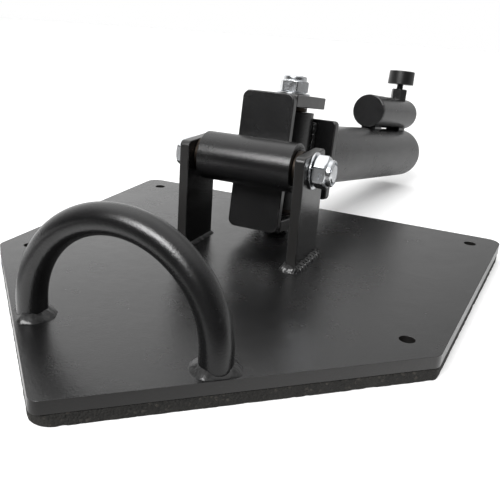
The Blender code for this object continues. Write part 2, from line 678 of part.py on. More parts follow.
def swivel_bolt(pivot):
    """Low round head under the bottom arm, shank up through both arms to the lock nut."""
    head_top = -YOKE_BOTTOM - GAP
    head_bottom = head_top - SWIVEL_HEAD_HEIGHT
    end = YOKE_TOP + GAP + WASHER_THICKNESS + GAP + NUT_HEIGHT + BOLT_END_STANDS_OUT
    rim_bottom = head_top - SWIVEL_HEAD_RIM_HEIGHT
    profile = [(0, head_bottom)]
    for step in range(QUARTER_STEPS + 1):
        angle = math.pi / 2 * step / QUARTER_STEPS
        profile.append((SWIVEL_HEAD_FLAT_RADIUS
                        + (SWIVEL_HEAD_RADIUS - SWIVEL_HEAD_FLAT_RADIUS) * math.sin(angle),
                        rim_bottom - (rim_bottom - head_bottom) * math.cos(angle)))
    profile += [(SWIVEL_HEAD_RADIUS, head_top), (BOLT_RADIUS, head_top),
                (BOLT_RADIUS, end - BOLT_END_CHAMFER), (BOLT_RADIUS - BOLT_END_CHAMFER, end), (0, end)]
    put_in_scene("swivel_bolt", turned_shape(profile, SMALL_ROUND_STEPS), "zinc", pivot,
                 (0, SWIVEL_Y, 0), smooth=True)


def swivel_fasteners(pivot):
    washer_z = YOKE_TOP + GAP
    washer("swivel_nut_washer", pivot, (0, SWIVEL_Y, washer_z), (0, 0, 0))
    lock_nut("swivel_nut", pivot, (0, SWIVEL_Y, washer_z + WASHER_THICKNESS + GAP), (0, 0, 0))


def swivel_tube_and_bushes(swivel):
    """A tube between the yoke's arms, with a bush flange and two running gaps at each end."""
    room = GAP + SWIVEL_FLANGE_THICKNESS + GAP
    low = BOTTOM_ARM_TOP + room
    high = TOP_ARM_UNDERSIDE - room
    open_tube("swivel_tube", swivel, SWIVEL_TUBE_RADIUS, TUBE_BORE_RADIUS, high - low,
              (0, 0, low), (0, 0, 0))
    flanged_bush("swivel_bush_top", swivel, (0, 0, high + GAP), (0, 0, 0), SWIVEL_FLANGE_THICKNESS)
    flanged_bush("swivel_bush_bottom", swivel, (0, 0, low - GAP), (math.pi, 0, 0), SWIVEL_FLANGE_THICKNESS)


def sleeve_back_plate(swivel):
    half = BACK_PLATE_HALF_SIZE
    radius = BACK_PLATE_CORNER_RADIUS
    corners = [(-half, -half, radius), (half, -half, radius), (half, half, radius), (-half, half, radius)]
    made = put_in_scene("sleeve_back_plate", slab_shape(rounded_outline(corners), BACK_PLATE_THICKNESS),
                        "black_coat", swivel,
                        (0, BACK_PLATE_FRONT + BACK_PLATE_THICKNESS, SLEEVE_CENTRE_HEIGHT), FACING_MINUS_Y)
    soften_edges(made)


def barbell_sleeve(swivel):
    open_tube("barbell_sleeve", swivel, SLEEVE_RADIUS, SLEEVE_BORE_RADIUS, SLEEVE_LENGTH,
              (0, SLEEVE_START, SLEEVE_CENTRE_HEIGHT), ALONG_PLUS_Y)


def sleeve_welds(swivel):
    """Two upright beads beside the swivel tube, and a ring round the sleeve's foot."""
    offset, back = groove_offset(SWIVEL_TUBE_RADIUS, SWIVEL_BEAD_RADIUS)
    reach = BACK_PLATE_HALF_SIZE - SWIVEL_BEAD_RADIUS
    for name, x in (("left_swivel_weld", -offset), ("right_swivel_weld", offset)):
        low = Vector((x, back, SLEEVE_CENTRE_HEIGHT - reach))
        high = Vector((x, back, SLEEVE_CENTRE_HEIGHT + reach))
        bead = straight_bead(low, high, Vector((1, 0, 0)), Vector((0, 1, 0)), SWIVEL_BEAD_RADIUS,
                             WELD_LINE_STATIONS)
        put_in_scene(name, bead, "black_coat", swivel, smooth=True)
    centre = Vector((0, BACK_PLATE_FRONT + BACK_PLATE_THICKNESS, SLEEVE_CENTRE_HEIGHT))
    rings = []
    for station in range(WELD_RING_STATIONS):
        angle = math.tau * station / WELD_RING_STATIONS
        outward = Vector((math.cos(angle), 0, math.sin(angle)))
        rings.append(fillet_ring(centre + outward * SLEEVE_RADIUS, outward, Vector((0, 1, 0)),
                                 rippled(SLEEVE_WELD_LEG, station)))
    put_in_scene("sleeve_foot_weld", swept_shape(rings, closed=True), "black_coat", swivel, smooth=True)


def small_sleeve(swivel):
    """The smaller tube, its closed end and the clamping screw's hole in its top."""
    start = SMALL_SLEEVE_START + SMALL_CAP_THICKNESS + GAP
    made = open_tube("small_sleeve", swivel, SMALL_SLEEVE_RADIUS, SMALL_SLEEVE_BORE_RADIUS,
                     SMALL_SLEEVE_END - start, (0, start, SMALL_SLEEVE_HEIGHT), ALONG_PLUS_Y)
    upwards = (math.radians(90), 0, 0)
    drill(made, SCREW_HOLE_RADIUS, 0.0, SMALL_SLEEVE_RADIUS + CUTTER_OVERSHOOT,
          (0, 0, SCREW_Y - start), upwards, steps=HOLE_ROUND_STEPS)
    rim = SMALL_SLEEVE_RADIUS - EDGE_ROUNDING
    disc = [(0, 0), (rim, 0), (SMALL_SLEEVE_RADIUS, EDGE_ROUNDING),
            (SMALL_SLEEVE_RADIUS, SMALL_CAP_THICKNESS), (0, SMALL_CAP_THICKNESS)]
    put_in_scene("small_sleeve_cap", turned_shape(disc, LARGE_ROUND_STEPS), "black_coat", swivel,
                 (0, SMALL_SLEEVE_START, SMALL_SLEEVE_HEIGHT), ALONG_PLUS_Y, smooth=True)


def standoff_shape(start_y):
    """A short bar whose lower and upper faces follow the two tubes that it joins."""
    half = STANDOFF_WIDTH / 2
    places = [half * (2 * step / STANDOFF_STEPS - 1) for step in range(STANDOFF_STEPS + 1)]
    lower = SLEEVE_RADIUS + GAP
    upper = SMALL_SLEEVE_RADIUS + GAP
    section = [(x, SLEEVE_CENTRE_HEIGHT + math.sqrt(lower ** 2 - x ** 2)) for x in places]
    section += [(x, SMALL_SLEEVE_HEIGHT - math.sqrt(upper ** 2 - x ** 2)) for x in reversed(places)]
    rings = [[Vector((x, start_y + step * STANDOFF_LENGTH, z)) for x, z in section] for step in (0, 1)]
    return swept_shape(rings, closed=False)


def small_sleeve_standoffs(swivel):
    first = SMALL_SLEEVE_START + STANDOFF_FROM_END
    last = SMALL_SLEEVE_END - STANDOFF_FROM_END - STANDOFF_LENGTH
    put_in_scene("near_standoff", standoff_shape(first), "black_coat", swivel)
    put_in_scene("far_standoff", standoff_shape(last), "black_coat", swivel)


def lock_screw_boss(screw):
    """Six-sided boss whose foot follows the small sleeve. Its frame has the sleeve's axis at Z = 0."""
    made = put_in_scene("lock_screw_boss", hexagon_shape(BOSS_FLAT_WIDTH, 0.0, BOSS_TOP), "black_coat",
                        screw, smooth=True)
    combine(made, chamfer_limit(BOSS_FLAT_WIDTH, -BOSS_TOP, BOSS_TOP, both_ends=False), "INTERSECT")
    radius = SMALL_SLEEVE_RADIUS + GAP
    tube = turned_shape([(0, -BOSS_FLAT_WIDTH), (radius, -BOSS_FLAT_WIDTH), (radius, BOSS_FLAT_WIDTH),
                         (0, BOSS_FLAT_WIDTH)], LARGE_ROUND_STEPS)
    combine(made, tube, "DIFFERENCE", ALONG_PLUS_Y)
    drill(made, SCREW_HOLE_RADIUS, 0.0, BOSS_TOP + CUTTER_OVERSHOOT, steps=HOLE_ROUND_STEPS)


def lock_screw_stem(screw):
    low = SMALL_SLEEVE_BORE_RADIUS - STEM_INTO_BORE
    high = BOSS_TOP + KNOB_LIFT + STEM_INTO_KNOB
    profile = [(0, low), (STEM_RADIUS - EDGE_ROUNDING, low), (STEM_RADIUS, low + EDGE_ROUNDING),
               (STEM_RADIUS, high), (0, high)]
    put_in_scene("lock_screw_stem", turned_shape(profile, HOLE_ROUND_STEPS), "dark_steel",
                 screw, smooth=True)


def lock_screw_knob(screw):
    """A plain round knob with rounded rims and a socket for the stem."""
    low = BOSS_TOP + KNOB_LIFT
    high = low + KNOB_HEIGHT
    socket = STEM_RADIUS + GAP
    socket_end = low + STEM_INTO_KNOB + GAP
    profile = [(0, socket_end), (socket, socket_end), (socket, low), (KNOB_RADIUS - KNOB_ROUNDING / 2, low),
               (KNOB_RADIUS, low + KNOB_ROUNDING / 2)]
    for step in range(QUARTER_STEPS + 1):
        angle = math.pi / 2 * step / QUARTER_STEPS
        profile.append((KNOB_RADIUS - KNOB_ROUNDING * (1 - math.cos(angle)),
                        high - KNOB_ROUNDING * (1 - math.sin(angle))))
    profile.append((0, high))
    put_in_scene("lock_screw_knob", turned_shape(profile, LARGE_ROUND_STEPS), "black_plastic",
                 screw, smooth=True)


def rest_pitch():
    """How far the yoke droops until the swivel bolt's head stands on the base plate, in radians."""
    reach = SWIVEL_Y + SWIVEL_HEAD_FLAT_RADIUS
    depth = YOKE_BOTTOM + GAP + SWIVEL_HEAD_HEIGHT
    room = PIVOT_HEIGHT - GAP
    return math.atan2(reach, depth) - math.acos(room / math.hypot(reach, depth))


def build():
    clear_scene()
    rubber_mat()
    base_plate()
    uprights()
    upright_welds()
    carry_handle()
    handle_welds()
    pivot_bolt()
    pivot_fasteners()
    pivot = axis_empty("pivot_axis", (0, 0, PIVOT_Z), (-rest_pitch(), 0, 0))
    pivot_tube_and_bushes(pivot)
    yoke_face_plate(pivot)
    yoke_arms(pivot)
    yoke_welds(pivot)
    swivel_bolt(pivot)
    swivel_fasteners(pivot)
    swivel = axis_empty("swivel_axis", (0, SWIVEL_Y, 0), (0, 0, -math.radians(REST_YAW)), pivot)
    swivel_tube_and_bushes(swivel)
    sleeve_back_plate(swivel)
    barbell_sleeve(swivel)
    sleeve_welds(swivel)
    small_sleeve(swivel)
    small_sleeve_standoffs(swivel)
    screw = axis_empty("screw_axis", (0, SCREW_Y, SMALL_SLEEVE_HEIGHT), parent=swivel)
    lock_screw_boss(screw)
    lock_screw_stem(screw)
    lock_screw_knob(screw)


build()
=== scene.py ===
"""Looks of the barbell pivot base plate: fine surfaces, finishes and the studio around its frame."""

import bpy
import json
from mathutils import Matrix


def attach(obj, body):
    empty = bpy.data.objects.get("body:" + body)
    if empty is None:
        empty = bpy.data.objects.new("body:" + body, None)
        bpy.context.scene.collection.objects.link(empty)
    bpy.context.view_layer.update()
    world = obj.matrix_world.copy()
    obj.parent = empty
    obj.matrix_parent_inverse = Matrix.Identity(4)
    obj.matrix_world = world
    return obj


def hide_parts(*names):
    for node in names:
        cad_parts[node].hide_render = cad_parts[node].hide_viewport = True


bl_info = {
    "name": "Barbell Pivot Base Plate",
    "version": (1, 0, 0),
    "blender": (4, 5, 0),
    "location": "View3D > Sidebar > Pivot Base",
    "description": "Builds the fine surfaces and finishes of a barbell pivot base plate",
    "category": "Add Mesh",
}

import functools
import itertools
import json
import math
from typing import NamedTuple

import bmesh
import bpy
import numpy as np
from bpy.props import FloatProperty, FloatVectorProperty, PointerProperty
from mathutils import Matrix, Vector
from mathutils.geometry import convex_hull_2d, tessellate_polygon

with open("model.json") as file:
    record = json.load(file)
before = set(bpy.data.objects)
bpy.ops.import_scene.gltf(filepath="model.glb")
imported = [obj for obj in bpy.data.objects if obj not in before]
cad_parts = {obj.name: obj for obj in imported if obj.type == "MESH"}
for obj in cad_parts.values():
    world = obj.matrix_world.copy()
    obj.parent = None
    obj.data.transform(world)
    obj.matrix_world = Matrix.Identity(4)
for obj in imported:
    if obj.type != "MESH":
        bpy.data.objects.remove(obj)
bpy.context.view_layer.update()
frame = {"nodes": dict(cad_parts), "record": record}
RECORD = frame["record"]

# How finely the surfaces are cut
ROUND_COLUMNS = 96
FINE_COLUMNS = ROUND_COLUMNS * 2
HOLE_COLUMNS = ROUND_COLUMNS // 2
BEAD_COLUMNS = ROUND_COLUMNS // 3
CORNER_STEPS = 10
RIM_STEPS = 4
DOME_STEPS = 12
CURL_STEPS = 6
CHAMFER_STEPS = 8
SADDLE_STEPS = 14
WELD_SECTION_STEPS = 12
STEPS_PER_DROP = 20
STEPS_PER_THREAD = 8
HANDLE_STATIONS = 121
MAT_SPACING = 0.0007
MAT_ROWS = 8
MERGE_DISTANCE = 1e-6
SHARP_ANGLE = math.radians(38)

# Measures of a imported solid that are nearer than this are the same
SAME = 0.0001

# Large odd numbers that scatter the cells of a lattice, and how many values a cell can have
SCATTER = (73856093, 19349663, 83492791, 26544357, 1274126177)
LATTICE_LEVELS = 65536

# Welds: how far they are let into the steel past the modelled clearance, how far their drops bow forwards
# in drops, how their lumps shift across the section, and how many parts a ring has for smoothing its leg
WELD_SINK = 0.0006
FILLET_BOW = 0.55
BEAD_BOW = 0.35
LUMP_SHIFT = 0.002
FINE_LUMP_SHIFT = 0.006
FINE_LUMPS = 0.25
BEAD_LUMPS = 0.6
BEAD_LUMP_SIZE = 0.004
RING_PARTS = 20

# The mat's cut edge: the sizes of its coarse and fine tears and the coarse ones' share, and the size of its
# notches, how they are drawn out upwards, and how sparse they are
COARSE_TEAR = 0.0042
FINE_TEAR = 0.0016
COARSE_SHARE = 0.6
NOTCH_SIZE = 0.0055
NOTCH_STRETCH = np.array([1.0, 1.0, 0.3])
NOTCH_SPARSITY = 0.45

# Hexagons: how sharp their corners are, and where and how steeply the chamfer of an end face begins
HEXAGON_POWER = 70
CHAMFER_START = 0.94
CHAMFER_SLOPE = math.tan(math.radians(30))
FACE_MARGIN = 0.0004

# Threads: their ridges are drawn past 1 and cut flat there. Depths are in pitches, or in depths at the end
CREST = 1.2
BOLT_DEPTH = 0.5
SCREW_DEPTH = 0.45
END_CHAMFER = 1.3
END_TURNS = 4

# Shares of other measures: a nut's curled collar, the knob's top, the drilled hole, the standoffs' edges
COLLAR_CURL = 0.4
KNOB_TAPER = 0.975
DRILL_REACH = 1.3
STANDOFF_SOFTNESS = 0.75

# How rubbed the chamfers, a round head's rim and a bolt's end are
CHAMFER_WEAR = 0.7
HEAD_WEAR = 0.6
END_WEAR = 0.4

# Depths in metres of the relief that the finishes add
COAT_RELIEF = 0.00014
RUBBER_RELIEF = 0.0007
METAL_RELIEF = 0.00004
PLASTIC_RELIEF = 0.00005
PAPER_RELIEF = 0.0001

# The ways that fine scratches run, in radians, and how much their noise is squeezed across them
SCRATCH_TURNS = (0.5, 1.9, -0.7)
SCRATCH_SQUEEZE = (1.0, 60.0, 4.0)

# Colours that the finishes mix in
BLACK = (0.0, 0.0, 0.0, 1.0)
WHITE = (1.0, 1.0, 1.0, 1.0)
CUT_EDGE = (0.014, 0.013, 0.012, 1.0)
RUBBED = (0.050, 0.050, 0.050, 1.0)
SCRATCHED = (0.060, 0.060, 0.062, 1.0)
DUST = (0.16, 0.155, 0.145, 1.0)
PALE_CRUMB = (0.034, 0.031, 0.027, 1.0)
ZINC_STAIN = (0.66, 0.72, 0.80, 1.0)
BRONZE_STAIN = (0.05, 0.035, 0.025, 1.0)
STEEL_STAIN = (0.03, 0.028, 0.026, 1.0)
DARK_PAPER = (0.84, 0.84, 0.84, 1.0)
PALE_PAPER = (0.90, 0.90, 0.90, 1.0)

# How brightly the paper glows, so that it shows white
PAPER_GLOW = 0.15

# Marks on each vertex that the finishes read
WEAR_MARK = "wear"
SIDE_MARK = "side"

X_AXIS = np.array([1.0, 0.0, 0.0])
Y_AXIS = np.array([0.0, 1.0, 0.0])
Z_AXIS = np.array([0.0, 0.0, 1.0])


# Settings

def length_setting(name, description, default):
    """A setting in metres."""
    return FloatProperty(name=name, description=description, default=default, unit="LENGTH")


def share_setting(name, description, default):
    """A setting from 0 to 1."""
    return FloatProperty(name=name, description=description, default=default, subtype="FACTOR")


def angle_setting(name, description, default):
    """A setting in radians."""
    return FloatProperty(name=name, description=description, default=default, subtype="ANGLE")


def number_setting(name, description, default):
    """A setting without a unit."""
    return FloatProperty(name=name, description=description, default=default)


def colour_setting(name, description, default):
    """A colour in linear light."""
    return FloatVectorProperty(name=name, description=description, default=default, subtype="COLOR")


class PivotBaseSizes(bpy.types.PropertyGroup):
    """Sizes of the small forms."""
    plate_rounding: length_setting("Plate rounding", "Rounding of the base plate's edges", 0.0002)
    bar_rounding: length_setting("Bar rounding", "Rounding of the flat bars' edges", 0.0011)
    rim_rounding: length_setting("Rim rounding", "Rounding of the tubes' rims", 0.0007)
    cap_rounding: length_setting("Cap rounding", "Rounding of the small sleeve's closed end", 0.0010)
    fine_rounding: length_setting("Fine rounding", "Rounding of bolts, nuts and washers", 0.0003)
    mat_rounding: length_setting("Mat rounding", "Rounding of the mat's edges", 0.0010)
    upright_corner: length_setting("Upright corner", "Radius of the uprights' upper corners", 0.0045)
    yoke_corner: length_setting("Yoke corner", "Radius of the yoke face plate's corners", 0.0065)
    arm_corner: length_setting("Arm corner", "Radius of the yoke arms' free corners", 0.0020)
    back_plate_corner: length_setting("Back plate corner", "Radius of the back plate's corners", 0.0040)
    knob_rounding: length_setting("Knob rounding", "Rounding of the knob's upper rim", 0.0011)
    handle_oval: share_setting("Handle oval", "How much the bend flattens the tube", 0.03)
    weld_pitch: length_setting("Weld pitch", "Distance from one weld drop to the next", 0.0058)
    weld_ripple: share_setting("Weld ripple", "Height of a drop, as a share of the weld", 0.22)
    weld_lumps: share_setting("Weld lumps", "Unevenness of a weld, as a share of its size", 0.13)
    weld_belly: share_setting("Weld belly", "How far a fillet weld bulges, as a share of it", 0.16)
    smooth_ripple: share_setting("Smooth ripple", "Height of a drop on the smoother welds", 0.045)
    smooth_lumps: share_setting("Smooth lumps", "Unevenness of the smoother welds", 0.12)
    smooth_belly: share_setting("Smooth belly", "How far the smoother welds bulge", 0.03)
    bolt_pitch: length_setting("Bolt thread", "Pitch of the bolts' threads", 0.0020)
    screw_pitch: length_setting("Screw thread", "Pitch of the clamping screw's thread", 0.00125)
    mat_ragged: length_setting("Mat raggedness", "How uneven the mat's cut edge is", 0.0003)
    mat_notch: length_setting("Mat notches", "Depth of the crumbled notches in the mat's rim", 0.0011)


class PivotBaseFinishes(bpy.types.PropertyGroup):
    """Colours and roughness of the finishes."""
    coat_colour: colour_setting("Powder coat", "Colour of the black powder coat",
                                (0.0050, 0.0050, 0.0052))
    coat_roughness: share_setting("Coat roughness", "Roughness of the powder coat", 0.25)
    weld_roughness: share_setting("Weld roughness", "Roughness of the coat over the welds", 0.29)
    rubber_colour: colour_setting("Rubber", "Colour of the rubber mat", (0.011, 0.0105, 0.0095))
    zinc_colour: colour_setting("Zinc", "Colour of the zinc plating", (0.58, 0.59, 0.60))
    bronze_colour: colour_setting("Bronze", "Colour of the sintered bushes", (0.040, 0.033, 0.028))
    nylon_colour: colour_setting("Nylon", "Colour of the lock nuts' rings", (0.62, 0.66, 0.70))
    screw_colour: colour_setting("Screw", "Colour of the clamping screw's stem", (0.10, 0.10, 0.105))
    knob_colour: colour_setting("Knob", "Colour of the knob", (0.008, 0.008, 0.008))


class PivotBaseStudio(bpy.types.PropertyGroup):
    """Camera and light."""
    camera_place: FloatVectorProperty(name="Camera place", description="Where the camera stands",
                                      default=(0.218061, -0.517440, 0.222389), precision=6,
                                      subtype="TRANSLATION")
    camera_yaw: angle_setting("Camera yaw", "Turn of the camera from +Y towards +X", -0.469)
    camera_dip: angle_setting("Camera dip", "How far the camera looks down", 0.324)
    camera_roll: angle_setting("Camera roll", "Roll of the camera", -0.047)
    lens: number_setting("Lens", "Focal length in mm on a 36 mm sensor", 49.66)
    shift_x: number_setting("Shift X", "Sideways shift of the picture", 0.10)
    shift_y: number_setting("Shift Y", "Upward shift of the picture", -0.04)
    floor_half: length_setting("Floor half width", "Half the side of the paper floor", 4.0)
    key_power: number_setting("Key light", "Power of the softbox over the camera, in watts", 225.0)
    key_way: FloatVectorProperty(name="Key way", description="Direction from the object to the softbox",
                                 default=(-0.060, -0.790, 0.610), subtype="DIRECTION")
    key_distance: length_setting("Key distance", "Distance of the softbox", 4.0)
    key_width: length_setting("Key width", "Width of the softbox", 2.4)
    key_depth: length_setting("Key depth", "Depth of the softbox", 1.6)
    front_level: number_setting("Front level", "Brightness behind the camera", 0.04)
    back_level: number_setting("Back level", "Brightness behind the object", 0.60)
    left_level: number_setting("Left level", "Extra brightness on the left", 0.78)
    top_level: number_setting("Top level", "Extra brightness overhead", 1.0)
    front_floor: share_setting("Front floor", "Share of light that the floor in front returns", 0.05)


def sizes():
    return bpy.context.scene.pivot_base_sizes


def finishes():
    return bpy.context.scene.pivot_base_finishes


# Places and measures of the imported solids

def unit(vector):
    vector = np.asarray(vector, float)
    return vector / np.linalg.norm(vector)


def place_at(origin, z_axis, x_hint):
    """A 4 by 4 place with its Z along an axis and its X as near as may be to a hint."""
    made = np.eye(4)
    z = unit(z_axis)
    y = unit(np.cross(z, x_hint))
    made[:3, 0] = np.cross(y, z)
    made[:3, 1] = y
    made[:3, 2] = z
    made[:3, 3] = origin
    return made


def named(items, name):
    return next(each for each in items if each["name"] == name)


def joint(name):
    return named(RECORD["behaviour"]["joints"], name)


def node_points(node):
    """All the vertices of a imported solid, in the world."""
    mesh = frame["nodes"][node].data
    flat = np.empty(len(mesh.vertices) * 3, np.float32)
    mesh.vertices.foreach_get("co", flat)
    return flat.reshape(-1, 3).astype(float)


class Measure:
    """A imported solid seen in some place's own axes."""

    def __init__(self, node, place):
        self.points = (node_points(node) - place[:3, 3]) @ place[:3, :3]
        self.radii = np.hypot(self.points[:, 0], self.points[:, 1])
        self.heights = self.points[:, 2]
        self.low = self.points.min(0)
        self.high = self.points.max(0)
        self.centre = (self.low + self.high) / 2
        self.size = self.high - self.low
        self.bore = self.radii.min()
        self.outer = self.radii.max()

    def radii_between(self, low, high):
        """The radii of the vertices between two shares of the height."""
        shares = (self.heights - self.low[2]) / self.size[2]
        return self.radii[(shares >= low) & (shares <= high)]

    def heights_at(self, radius):
        """The lowest and the highest vertex at a radius."""
        at_radius = self.heights[np.abs(self.radii - radius) < SAME]
        return at_radius.min(), at_radius.max()


UP = unit(joint("sleeve_swivel")["axis"])
SLEEVE_WAY = unit(named(RECORD["mounts"], "barbell_sleeve_mouth")["axis"])
SLEEVE_SIDE = unit(np.cross(SLEEVE_WAY, UP))
WORLD = np.eye(4)
BOLT = place_at(joint("yoke_pitch")["pos_m"], X_AXIS, Y_AXIS)
YOKE = place_at(joint("yoke_pitch")["pos_m"], UP, X_AXIS)
SWIVEL = place_at(joint("sleeve_swivel")["pos_m"], UP, X_AXIS)
SLEEVE = place_at(joint("sleeve_swivel")["pos_m"], UP, SLEEVE_SIDE)
SCREW = place_at(joint("lock_knob_turn")["pos_m"], UP, SLEEVE_SIDE)


def along_sleeve(node):
    """The place of a tube that lies along the sleeve: its Z runs towards the mouth, its X is level."""
    found = Measure(node, SLEEVE)
    centre = SLEEVE[:3, 3] + SLEEVE[:3, :3] @ np.array([found.centre[0], 0.0, found.centre[2]])
    return place_at(centre, SLEEVE_WAY, SLEEVE_SIDE)


def turned_axes(axes):
    """A place whose X, Y and Z are the world's axes in another order."""
    made = np.eye(4)
    made[:3, :3] = np.eye(3)[:, list(axes)]
    return made


def spun_to_corner(node, place):
    """A place turned about its Z until its X points at a corner of a packed hexagon."""
    found = Measure(node, place)
    corner = found.points[found.radii.argmax()]
    return place_at(place[:3, 3], place[:3, 2], place[:3, :2] @ corner[:2])


# Surfaces: points, faces, and for each point the marks wear and side

def grid_surface(points, wear=0.0, side=0.0, wrap_rows=False, wrap_columns=False):
    """Four-sided faces between neighbours on a grid of points with rows and columns."""
    rows, columns = points.shape[:2]
    row = np.arange(rows if wrap_rows else rows - 1)[:, None]
    column = np.arange(columns if wrap_columns else columns - 1)[None, :]
    next_row = (row + 1) % rows
    next_column = (column + 1) % columns
    faces = np.stack(np.broadcast_arrays(row * columns + column, row * columns + next_column,
                                         next_row * columns + next_column, next_row * columns + column), -1)
    marks = np.stack([np.broadcast_to(wear, (rows, columns)), np.broadcast_to(side, (rows, columns))], -1)
    return points.reshape(-1, 3), faces.reshape(-1, 4).tolist(), marks.reshape(-1, 2)


def joined(*surfaces):
    """Several surfaces as one."""
    points, faces, marks = [], [], []
    count = 0
    for some_points, some_faces, some_marks in surfaces:
        points.append(some_points)
        faces += [[index + count for index in face] for face in some_faces]
        marks.append(some_marks)
        count += len(some_points)
    return np.concatenate(points), faces, np.concatenate(marks)


def moved(surface, place):
    """A surface from a place's own axes into the axes that the place is given in."""
    points, faces, marks = surface
    return points @ place[:3, :3].T + place[:3, 3], faces, marks


def column_angles(columns=ROUND_COLUMNS):
    return np.arange(columns) * math.tau / columns


def quarter_turn(steps):
    """Angles from 0 to a right angle."""
    return np.linspace(0.0, math.pi / 2, steps + 1)


def ring_stack(rings, columns=ROUND_COLUMNS, closed=False):
    """Rings about Z: each is a radius, a height and a wear mark, which may vary with the angle."""
    angle = column_angles(columns)
    points = np.empty((len(rings), columns, 3))
    wear = np.empty((len(rings), columns))
    for index, (radius, height, worn) in enumerate(rings):
        points[index, :, 0] = radius * np.cos(angle)
        points[index, :, 1] = radius * np.sin(angle)
        points[index, :, 2] = height
        wear[index] = worn
    return grid_surface(points, wear, 0.0, wrap_rows=closed, wrap_columns=True)


def rounded_outline(corners, steps=CORNER_STEPS):
    """An anticlockwise outline whose corners (x, y, radius) become arcs that touch both sides.

    Returns its points, its outward normals, and a mark that rises to 1 in the middle of each arc.
    """
    places = np.array([corner[:2] for corner in corners], float)
    points, normals, marks = [], [], []
    for index, (_, _, radius) in enumerate(corners):
        here = places[index]
        before = unit(places[index - 1] - here)
        after = unit(places[(index + 1) % len(corners)] - here)
        turn = math.atan2(before[1] * after[0] - before[0] * after[1], -before @ after)
        first = math.atan2(before[0], -before[1])
        share = np.linspace(0.0, 1.0, steps + 1) if radius > 0 else np.array([0.5])
        facing = np.stack([np.cos(first + share * turn), np.sin(first + share * turn)], -1)
        centre = here
        if radius > 0:
            centre = here + unit(before + after) * radius / math.cos(turn / 2)
        points.append(centre + math.copysign(radius, turn) * facing)
        normals.append(facing)
        marks.append(np.sin(share * math.pi) if radius > 0 else np.zeros(1))
    return np.concatenate(points), np.concatenate(normals), np.concatenate(marks)


def turned(corners, columns=ROUND_COLUMNS, steps=RIM_STEPS):
    """A closed profile of (radius, height, rounding) corners, anticlockwise, turned about Z."""
    points, _, marks = rounded_outline(corners, steps)
    return ring_stack(list(zip(points[:, 0], points[:, 1], marks)), columns, closed=True)


def evenly(points, normals, spacing):
    """A closed outline sampled again at even distances, with the distance of each sample."""
    around = np.concatenate([points, points[:1]])
    facing = np.concatenate([normals, normals[:1]])
    along = np.concatenate([[0.0], np.cumsum(np.linalg.norm(np.diff(around, axis=0), axis=1))])
    wanted = np.linspace(0.0, along[-1], round(along[-1] / spacing), endpoint=False)
    sampled = np.stack([np.interp(wanted, along, around[:, axis]) for axis in (0, 1)], -1)
    turned_to = np.stack([np.interp(wanted, along, facing[:, axis]) for axis in (0, 1)], -1)
    return sampled, turned_to / np.linalg.norm(turned_to, axis=1, keepdims=True), wanted


def hole_loop(x, y, radius):
    """A round hole's loop, with normals that face its centre."""
    angle = column_angles(HOLE_COLUMNS)
    inward = -np.stack([np.cos(angle), np.sin(angle)], -1)
    return np.array([x, y]) - inward * radius, inward


def flat_face(lines, height):
    """Triangles that fill the first line, less the holes that the other lines go round."""
    triangles = tessellate_polygon([[Vector((x, y, 0.0)) for x, y in line] for line in lines])
    flat = np.concatenate(lines)
    points = np.column_stack([flat, np.full(len(flat), height)])
    return points, [list(triangle) for triangle in triangles], np.zeros((len(flat), 2))


def prism(loops, thickness, rounding, side_rows=1, push=None):
    """Loops of (outline, normals) raised from 0 to a thickness, with quarter-round rims.

    A rim's inset is r(1 - cos a) and its height r(1 + sin a), mirrored at the top. The push is a function
    of the places on the edge that gives how far each is moved outwards.
    """
    quarter = np.linspace(-math.pi / 2, 0.0, RIM_STEPS + 1)
    inset = rounding * (1 - np.cos(quarter))
    height = rounding * (1 + np.sin(quarter))
    between = np.linspace(rounding, thickness - rounding, side_rows + 1)[1:-1]
    inset = np.concatenate([inset, between * 0.0, inset[::-1]])
    height = np.concatenate([height, between, thickness - height[::-1]])
    wear = np.concatenate([-np.sin(2 * quarter), between * 0.0, -np.sin(2 * quarter[::-1])])
    side = 1.0 - inset / rounding
    surfaces, lines = [], []
    for outline, normals in loops:
        flat = outline[None] - normals[None] * inset[:, None, None]
        heights = np.broadcast_to(height[:, None, None], flat.shape[:2] + (1,))
        points = np.concatenate([flat, heights], -1)
        if push is not None:
            points[..., :2] += normals[None] * push(points)[..., None]
        surfaces.append(grid_surface(points, wear[:, None], side[:, None], wrap_columns=True))
        lines.append(points[..., :2])
    bottom = flat_face([line[0] for line in lines], 0.0)
    top = flat_face([line[-1] for line in lines], thickness)
    return joined(*surfaces, bottom, top)


def raised_in(surface, place, axes, start):
    """A surface whose own X, Y and Z are three of a place's axes, begun at a height along the third."""
    raised = turned_axes(axes)
    raised[:3, 3] = raised[:3, 2] * start
    return moved(moved(surface, raised), place)


def bar(node, place, axes, radii, holes=()):
    """A flat bar: a rectangle in two of a place's axes, raised along the third.

    The radii are those of its corners, and a hole is (u, v, radius).
    """
    found = Measure(node, place)
    low, high = found.low[list(axes)], found.high[list(axes)]
    outline, normals, _ = rounded_outline([(low[0], low[1], radii[0]), (high[0], low[1], radii[1]),
                                           (high[0], high[1], radii[2]), (low[0], high[1], radii[3])])
    loops = [(outline, normals)] + [hole_loop(*hole) for hole in holes]
    return raised_in(prism(loops, high[2] - low[2], sizes().bar_rounding), place, axes, low[2])


def plain_ring(node, place, rounding, columns=ROUND_COLUMNS):
    """A washer, nylon ring or tube: a rectangle turned about Z."""
    found = Measure(node, place)
    low, high = found.low[2], found.high[2]
    return moved(turned([(found.bore, low, rounding), (found.outer, low, rounding),
                         (found.outer, high, rounding), (found.bore, high, rounding)], columns), place)


# Unevenness of hand-made and cut surfaces

